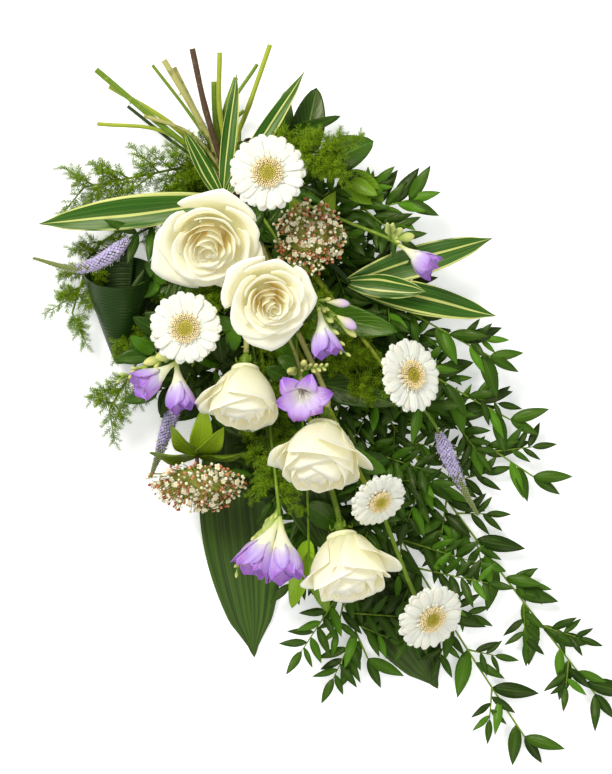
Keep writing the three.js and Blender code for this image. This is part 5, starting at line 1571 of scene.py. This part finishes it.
def make_viburnum(number, viburnum):
    roll = draws("viburnum", number)
    piece = Piece()
    place = frame_at(viburnum_base(viburnum), viburnum["facing"]) @ scaled(viburnum["size"])
    core = [(0.5, 0), (5, 0.3), (15, 3), (21, 8), (21, 13), (14, 19), (0, 21)]
    piece.add(turned(core, 16, 2), place)
    star = star_floret()
    cream = turned([(0.4, -0.6), (1.3, 0.3), (1.5, 1.2), (0.9, 2.2), (0, 2.5)], 6, 0)
    salmon = with_look(cream, 1)
    size = viburnum["size"]
    count = round(VIBURNUM_FLORETS * size**0.6)
    for k in range(count):
        out = math.sqrt((k + 0.5) / count)
        turn = k * GOLDEN_TURN + roll.uniform(-0.2, 0.2)
        tilt = out * math.radians(80) + roll.uniform(-0.05, 0.05)
        way = v3(math.sin(tilt) * math.cos(turn), math.sin(tilt) * math.sin(turn), math.cos(tilt) * 0.74)
        reach = VIBURNUM_RADIUS * roll.uniform(0.76, 1.1)
        foot = v3(0, 0, 3) + way * VIBURNUM_RADIUS * 0.5
        tip = v3(0, 0, 3) + way * (reach - 2)
        piece.add(stalk([place @ foot, place @ tip], [0.45, 0.35], 4, 2))
        draw = roll.random()
        form = star if draw < STAR_SHARE - 0.15 * out else cream if draw < CREAM_SHARE else salmon
        lean = way + v3(*(roll.uniform(-0.35, 0.35) for _ in range(3)))
        piece.add(form, place @ frame_at(tip, lean) @ scaled(roll.uniform(0.85, 1.25) / size))
    looks = ["floret", "salmon", "pedicel"]
    piece.finish(f"viburnum_{number}_florets", "viburnum_florets", looks, f"viburnum_head_{number}")


def make_viburnum_leaves(number, viburnum):
    name = f"viburnum_{number}"
    node = f"viburnum_leaves_{number}"
    roll = draws("viburnum_leaves", number)
    piece = Piece()
    add_stem(piece, name, 10, 0.9)
    end = viburnum_end(viburnum)
    direction = viburnum["facing"].normalized()
    piece.add(turned([(0.1, -9), (2, -7), (4.8, -0.3), (0, 0)], 12, 0), frame_at(end, direction))
    collar = frame_at(end - direction * viburnum["collar"], direction)
    solid = Solid(node)
    for k, (turn, lean) in enumerate(viburnum["leaves"]):
        length = 56 - (k % 2) * 9

        def place_of(way):
            return collar @ spun(math.radians(turn + way[1])) @ tipped(math.radians(lean + way[0]))

        way = solid.way(VIBURNUM_WAYS, lambda w: place_of(w) @ v3(length, 0, -0.2 * length))
        if way is not None:
            twist = 0.3 - 0.15 * k
            form = leaf_form(length, 23, 0.2, lance_width, (8, 14), 0.2, 1.4, 0.5, 2, twist=twist)
            piece.add(form, place_of(way))
    leaf = leaf_form(46, 21, 0.16, oval_width, (4, 9), 0.1, 1.0, 0.5, 3)
    pairs = VIBURNUM_PAIRS[number - 1]
    for k in range(pairs):
        root, tangent = root_on(name, beyond_tie(name), 0.22 + 0.66 * k / pairs)
        for turn in (0, 1):
            out = tangent * roll.uniform(0.3, 0.8) + side_of(tangent, turn) + UP * roll.uniform(-0.25, 0.2)
            piece.add(leaf, leaf_frame(root, out) @ scaled(roll.uniform(0.8, 1.2)))
    for share, heading, reach in VIBURNUM_SHOOTS[number - 1]:
        root, _ = root_on(name, beyond_tie(name), share)
        way = v3(math.cos(math.radians(heading)), math.sin(math.radians(heading)), 0.1).normalized()
        add_shoot(piece, root, way, reach, 8, 0.95, roll, [leaf])
    looks = [tone_of(name), "cut", "olive", "salal"]
    piece.finish(f"viburnum_{number}_foliage", "viburnum_leaf", looks, node)


# Ruscus. The ways that the source tries for a leaf or twig: how far aside and how far up
LEAF_WAYS = [(swing, raised) for swing in (0, 0.25, -0.25, 0.5, -0.5) for raised in (0, 0.2, -0.2, 0.4)]
# Each spray's side shoots: how many, how far along its stem they go, the longest, and how many small
# shoots, no longer than a twiglet, stand among its leaves
RUSCUS_SHOOTS = [
    (8, 0.8, 50, 1), (12, 0.66, 60, 3), (13, 0.64, 64, 3), (14, 0.64, 70, 5), (22, 0.62, 88, 12),
    (24, 0.74, 88, 10), (22, 0.95, 80, 13),
]
TWIGLET = 42
# How many of its stem's last points carry a spray's leaves
RUSCUS_LEAFY = 7


def make_ruscus(number, leaves):
    name = f"ruscus_{number}"
    roll = dice(SOURCE_SEEDS["ruscus"] + number)
    more = draws("ruscus", number)
    piece = Piece()
    add_stem(piece, name, 8, 0.55)
    solid = Solid(name)
    forms = [
        leaf_form(
            RUSCUS_LEAF, RUSCUS_LEAF * (0.34 - 0.025 * k), 0.16 - 0.03 * k, lance_width, (2, 8), 0.05,
            0.5 + 0.3 * k, 0.6, 2, 0.2 * k - 0.2,
        )
        for k in range(4)
    ]
    leafy = STEMS[name].points[-RUSCUS_LEAFY:]
    for k in range(leaves):
        point, tangent = part_way(leafy, 0.15 + 0.85 * (k + 0.5) / leaves)
        side = side_of(tangent, k)
        length = RUSCUS_LEAF * (0.8 + 0.35 * roll())
        spread = 0.75 + 0.5 * roll()
        tilt = 0.05 + 0.35 * roll()

        def place_of(way):
            out = tangent + side * (spread + way[0])
            out.z += tilt + way[1]
            return leaf_frame(point, out)

        way = solid.way(LEAF_WAYS, lambda w: place_of(w) @ v3(length, 0, -0.16 * length))
        if way is not None:
            place = place_of(way)
            place.translation = on_path(name, point)
            piece.add(forms[0], place @ scaled(length / RUSCUS_LEAF))
        root, tangent = root_on(name, leafy, 0.15 + 0.85 * (k + 1) / leaves)
        out = tangent + side_of(tangent, k + 1) * more.uniform(0.4, 1.0) + UP * more.uniform(0.15, 0.6)
        grown = more.uniform(0.7, 0.95)
        piece.add(forms[1 + k % 3], leaf_frame(root, out) @ scaled(grown))
    shoots, furthest, longest, twiglets = RUSCUS_SHOOTS[number - 1]
    for k in range(shoots):
        share = 0.06 + (furthest - 0.06) * (k + more.uniform(0, 0.8)) / shoots
        root, tangent = root_on(name, beyond_tie(name), share)
        out = tangent * more.uniform(0.3, 0.9) + side_of(tangent, k) * more.uniform(0.5, 1.1)
        out.z += more.uniform(0.0, 0.55) if k % 3 else more.uniform(-0.1, 0.1)
        reach = longest * more.uniform(0.55, 1.0)
        add_shoot(piece, root, out.normalized(), reach, 3 + int(reach / 11), 0.78, more, forms[1:])
    for k in range(twiglets):
        root, tangent = root_on(name, leafy, 0.08 + 0.86 * (k + more.uniform(0.2, 0.8)) / twiglets)
        out = tangent * more.uniform(0.5, 1.0) + side_of(tangent, k) * more.uniform(0.3, 0.7)
        out.z += more.uniform(-0.05, 0.25)
        reach = TWIGLET * more.uniform(0.5, 1.0)
        add_shoot(piece, root, out.normalized(), reach, 3 + int(reach / 16), 0.7, more, forms[2:])
    end, before = leafy[-1], leafy[-2]
    piece.add(forms[1], leaf_frame(end, end - before + UP * 4) @ scaled(0.72))
    piece.finish(f"ruscus_{number}_spray", "ruscus_leaf", ["green", "cut", "ruscus"], name)


# Asparagus ferns
NEEDLES = 30
FERN_LEAFY = 5
SPRIGS_ON_TWIG = 12
# The draws that the source makes for a twig's own shoots
SOURCE_DRAWS = 4


def fern_sprig(seed):
    """A short shoot along +Z with fine needles all round it."""
    roll = random.Random(seed)
    sprig = Piece()
    sprig.add(turned([(0.28, 0), (0.2, 12), (0, 15)], 3, 1))
    needle = turned([(0, 0), (0.48, 1.8), (0, 7.6)], 3, 1)
    for k in range(NEEDLES):
        share = k / NEEDLES
        turn = k * GOLDEN_TURN
        way = v3(math.cos(turn), math.sin(turn), roll.uniform(0.3, 1.0))
        scale = scaled(roll.uniform(0.75, 1.2) * (1 - 0.4 * share))
        sprig.add(needle, frame_at(v3(0, 0, 1 + 13 * share), way) @ scale)
    return sprig.gathered("sprig")


SPRIGS = [fern_sprig(seed) for seed in (1, 2, 3)]
SHORTEST_TUFT = 18
# Each plume's further twigs: how many, where they begin along its stem, how they crowd towards there and
# the longest
FERN_TUFTS = [
    (24, 0.0, 2.0, 44), (15, 0.42, 0.9, 32), (14, 0.4, 0.8, 32), (13, 0.5, 0.9, 32), (15, 0.5, 0.9, 32),
    (16, 0.5, 0.9, 32), (14, 0.4, 0.9, 32),
]


def make_fern(number, twigs):
    name = f"asparagus_{number}"
    roll = dice(SOURCE_SEEDS["asparagus"] + number)
    more = draws("asparagus", number)
    piece = Piece()
    add_stem(piece, name, 7, 0.6, cut_look=2)
    solid = Solid(name)
    leafy = STEMS[name].points[-FERN_LEAFY:]

    def add_twig(point, out, reach):
        across = out.orthogonal().normalized()
        tip = point + out * reach
        bow = [point.copy(), point.lerp(tip, 0.5) + UP * 1.0, tip]
        piece.add(stalk(eased(bow, 3), [1.0 - 0.11 * i for i in range(7)], 5, 0))
        for n in range(SPRIGS_ON_TWIG):
            share = 0.1 + 0.9 * n / (SPRIGS_ON_TWIG - 1)
            side = turned_about(out, n * GOLDEN_TURN + more.uniform(-0.3, 0.3)) @ across
            way = side + out * (0.5 + 0.6 * share)
            scale = scaled(more.uniform(0.75, 1.1) * (1.1 - 0.3 * share))
            piece.add(SPRIGS[n % len(SPRIGS)], frame_at(smooth(bow, share), way) @ scale)

    for k in range(twigs):
        point, tangent = part_way(leafy, 0.3 + 0.7 * (k + 1) / twigs)
        side = side_of(tangent, k)
        reach = 30 + 10 * roll()
        lean = 0.1 + 0.3 * roll()

        def out_of(way):
            out = tangent * 0.8 + side * (0.7 + way[0])
            out.z += lean + way[1]
            return out.normalized()

        way = solid.way(LEAF_WAYS, lambda w: point + out_of(w) * reach)
        if way is not None:
            add_twig(on_path(name, point), out_of(way), reach)
            for _ in range(SOURCE_DRAWS):
                roll()
    count, low, crowd, longest = FERN_TUFTS[number - 1]
    for k in range(count):
        place = (k + more.random()) / count
        root, tangent = root_on(name, beyond_tie(name), low + (0.99 - low) * place**crowd)
        out = tangent * more.uniform(0.2, 0.8) + side_of(tangent, k) * more.uniform(0.3, 1.0)
        out.z += more.uniform(0.0, 0.9)
        add_twig(root, out.normalized(), more.uniform(SHORTEST_TUFT, longest))
    piece.finish(f"asparagus_{number}_plume", "fern", ["green", "needle", "cut"], name)


# Broad leaves, with how far up the source tries for their tips
ASPIDISTRA_RAISES = (0, 3, 6, 9, 12)


def make_aspidistra(number, leaf):
    name = f"aspidistra_{number}"
    piece = Piece()
    add_stem(piece, name, 9, 0.9)
    solid = Solid(name)
    raised = solid.way(ASPIDISTRA_RAISES, lambda way: leaf["tip"] + UP * way) or 0
    start = leaf["root"] + UP * raised
    reach = leaf["tip"] - leaf["root"]
    form = leaf_form(reach.length, leaf["width"], 0.0, strap_width, (20, 44), 0.075, 1.6, 0.7, 2)
    piece.add(form, leaf_frame(start, reach))
    piece.finish(f"aspidistra_{number}_blade", "dark_leaf", ["dark", "cut", "aspidistra"], name)


# The open blade that lies behind the rolled one, from the same stalk
BACKING_ROOT = v3(-107, -185, 13)
BACKING_TIP = v3(-46, -62, 12)


def make_cone(_, cone):
    """A broad leaf rolled into a cone, ribbed across, with its dark mouth open."""
    direction = cone["mouth"] - cone["apex"]
    length = direction.length

    def shape(u, v):
        angle = math.radians(-100 + 200 * u)
        radius = (5 + (cone["radius"] - 5) * v**0.9) * (1 + 0.09 * (u + 1))
        radius += 0.5 * math.sin(3 * u + 5 * v) * v
        radius += 0.17 * math.sin(v * 150 + 5 * u)
        height = length * (0.06 + 0.9 * v) - 7 * u * v + 11 * math.sin(angle) * v**3
        return v3(radius * math.cos(angle), radius * math.sin(angle), height)

    piece = Piece()
    add_stem(piece, "cone", 9, 0.9)
    piece.add(sheet(shape, 40, 96, 0.6, 2), frame_at(cone["apex"], direction))
    reach = BACKING_TIP - BACKING_ROOT
    backing = leaf_form(reach.length, 54, 0.0, strap_width, (12, 24), 0.06, 1.2, 0.6, 3)
    piece.add(backing, leaf_frame(BACKING_ROOT, reach))
    piece.finish("rolled_leaf", "dark_leaf", ["dark", "cut", "rolled", "aspidistra"], "aspidistra_cone")


STRIPED_RAISES = (0, 6, -6, 12, -12, 18, -18, 24, -24, 30, 36, -32)


def make_striped(number, rosette):
    name = f"dracaena_{number}"
    piece = Piece()
    add_stem(piece, name, 10, 0.95)
    solid = Solid(name)
    habit = (strap_width, (12, 30), 0.12, 1.2, 0.6, 2)
    for tip, width in rosette["leaves"]:
        add_laid_leaf(piece, solid, rosette["end"], tip, STRIPED_RAISES, 0, width, 0.02, *habit)
    piece.finish(f"dracaena_{number}_blades", "striped_leaf", ["dark", "cut", "striped"], name)


# The leaves of each salal spray that are young and bright, and the length of the youngest, at its tip
YOUNG_LEAVES = [(2, 3), (5, 7, 8)]
YOUNGEST_LEAF = 36
SALAL_RAISES = (0, 6, -6, 12, 18, -12, 24, -18, 30)


def make_salal(number, salal):
    name = f"salal_{number}"
    piece = Piece()
    add_stem(piece, name, 9, 0.6)
    solid = Solid(name)
    leafy = beyond_tie(name)
    for k, (share, tip, width) in enumerate(salal["leaves"]):
        start, _ = part_way(leafy, share)
        look = 3 if k in YOUNG_LEAVES[number - 1] else 2
        habit = (oval_width, (10, 16), 0.1, 1.0, 0.5, look)
        add_laid_leaf(piece, solid, start, tip, SALAL_RAISES, 0.03, width, 0.08, *habit)
    end, before = leafy[-1], leafy[-2]
    youngest = leaf_form(YOUNGEST_LEAF, YOUNGEST_LEAF * 0.42, 0.1, oval_width, (8, 10), 0.1, 0.8, 0.5, 3)
    piece.add(youngest, leaf_frame(before.lerp(end, 0.9), end - before + UP * 4))
    piece.finish(f"salal_{number}_spray", "dark_leaf", [tone_of(name), "cut", "salal", "young"], name)


# The tie
TWINE_TURNS = 6
TWINE_STEPS = 48


def tie_outline(angle, extra):
    """Where the twine's middle runs round the bundle at an angle, pressed flat on the table."""
    x, y = math.cos(angle), math.sin(angle)
    offset, height, radius, _ = max(SLOTS.values(), key=lambda s: s[0] * x + s[1] * y + s[2])
    return offset + x * (radius + extra), height + y * (radius + extra)


def make_tie():
    piece = Piece()
    radius = TIE_LENGTH / TWINE_TURNS / 2
    for k in range(TWINE_TURNS):
        ring = []
        for step in range(TWINE_STEPS + 1):
            angle = step * FULL_TURN / TWINE_STEPS
            side, up = tie_outline(angle, TIE_ROOM + radius)
            along = -TIE_LENGTH / 2 + radius * (2 * k + 1) + 0.25 * math.sin(3 * angle + k)
            ring.append(ACROSS * side + UP * max(radius, up) + ALONG * along)
        radii = [radius * (1 + 0.06 * math.sin(step * 2.6)) for step in range(TWINE_STEPS + 1)]
        piece.add(stalk(ring, radii, 8))
    piece.finish("twine_turns", "twine", ["jute"], "twine_tie")


# All the pieces, kind by kind
make_tie()
for rows, *makers in (
    (ROSES, make_rose, make_rose_stem),
    (GERBERAS, make_gerbera, make_gerbera_stem),
    (FREESIAS, make_freesia, make_freesia_stem),
    (VERONICAS, make_veronica),
    (VIBURNUMS, make_viburnum, make_viburnum_leaves),
    ([leaves for _, leaves in RUSCUS], make_ruscus),
    ([twigs for _, twigs in FERNS], make_fern),
    (ASPIDISTRAS, make_aspidistra),
    ([CONE], make_cone),
    (STRIPED, make_striped),
    (SALALS, make_salal),
):
    for number, row in enumerate(rows, 1):
        for make in makers:
            make(number, row)


# The table, the light and the camera, in metres. A lamp has its place, size, power and colour.
TABLE_REACH = 3
TABLE_GLOW = 0.45
LAMPS = (
    ("key", (-0.9, 1.0, 1.9), 0.9, 47, (1, 0.985, 0.95)),
    ("fill", (0.9, -1.5, 1.9), 1.4, 17, (1, 0.99, 0.97)),
)
LAMPS_AIM = v3(0.08, -0.2, 0)
SKY_TONE = (0.98, 0.99, 1, 1)
SKY_STRENGTH = 0.5
CAMERA_PLACE = (0.077, -0.215, 2.6)
CAMERA_LENS = 118.1


def lay_table():
    bm = bmesh.new()
    bmesh.ops.create_grid(bm, x_segments=2, y_segments=2, size=TABLE_REACH)
    mesh = bpy.data.meshes.new("table")
    bm.to_mesh(mesh)
    bm.free()
    look = Look("pale_table", roughness=0.75, specular_ior_level=0.2)
    tone = look.mix(look.noise(2.5), (0.9, 0.9, 0.9), (0.93, 0.93, 0.925))
    mesh.materials.append(look.paint(tone, glow=TABLE_GLOW))
    table = bpy.data.objects.new("table", mesh)
    bpy.context.scene.collection.objects.link(table)


def add_light(name, place, size, power, tone):
    lamp = bpy.data.lights.new(name, "AREA")
    lamp.shape = "SQUARE"
    lamp.size = size
    lamp.energy = power
    lamp.color = tone
    light = bpy.data.objects.new(name, lamp)
    light.matrix_world = frame_at(Vector(place), Vector(place) - LAMPS_AIM)
    bpy.context.scene.collection.objects.link(light)


def set_stage():
    lay_table()
    for lamp in LAMPS:
        add_light(*lamp)
    world = bpy.data.worlds.new("studio")
    world.use_nodes = True
    sky = world.node_tree.nodes["Background"]
    sky.inputs["Color"].default_value = SKY_TONE
    sky.inputs["Strength"].default_value = SKY_STRENGTH
    bpy.context.scene.world = world
    bpy.context.scene.view_settings.view_transform = "Standard"
    lens = bpy.data.cameras.new("camera")
    lens.lens = CAMERA_LENS
    camera = bpy.data.objects.new("camera", lens)
    camera.location = CAMERA_PLACE
    bpy.context.scene.collection.objects.link(camera)
    bpy.context.scene.camera = camera


set_stage()
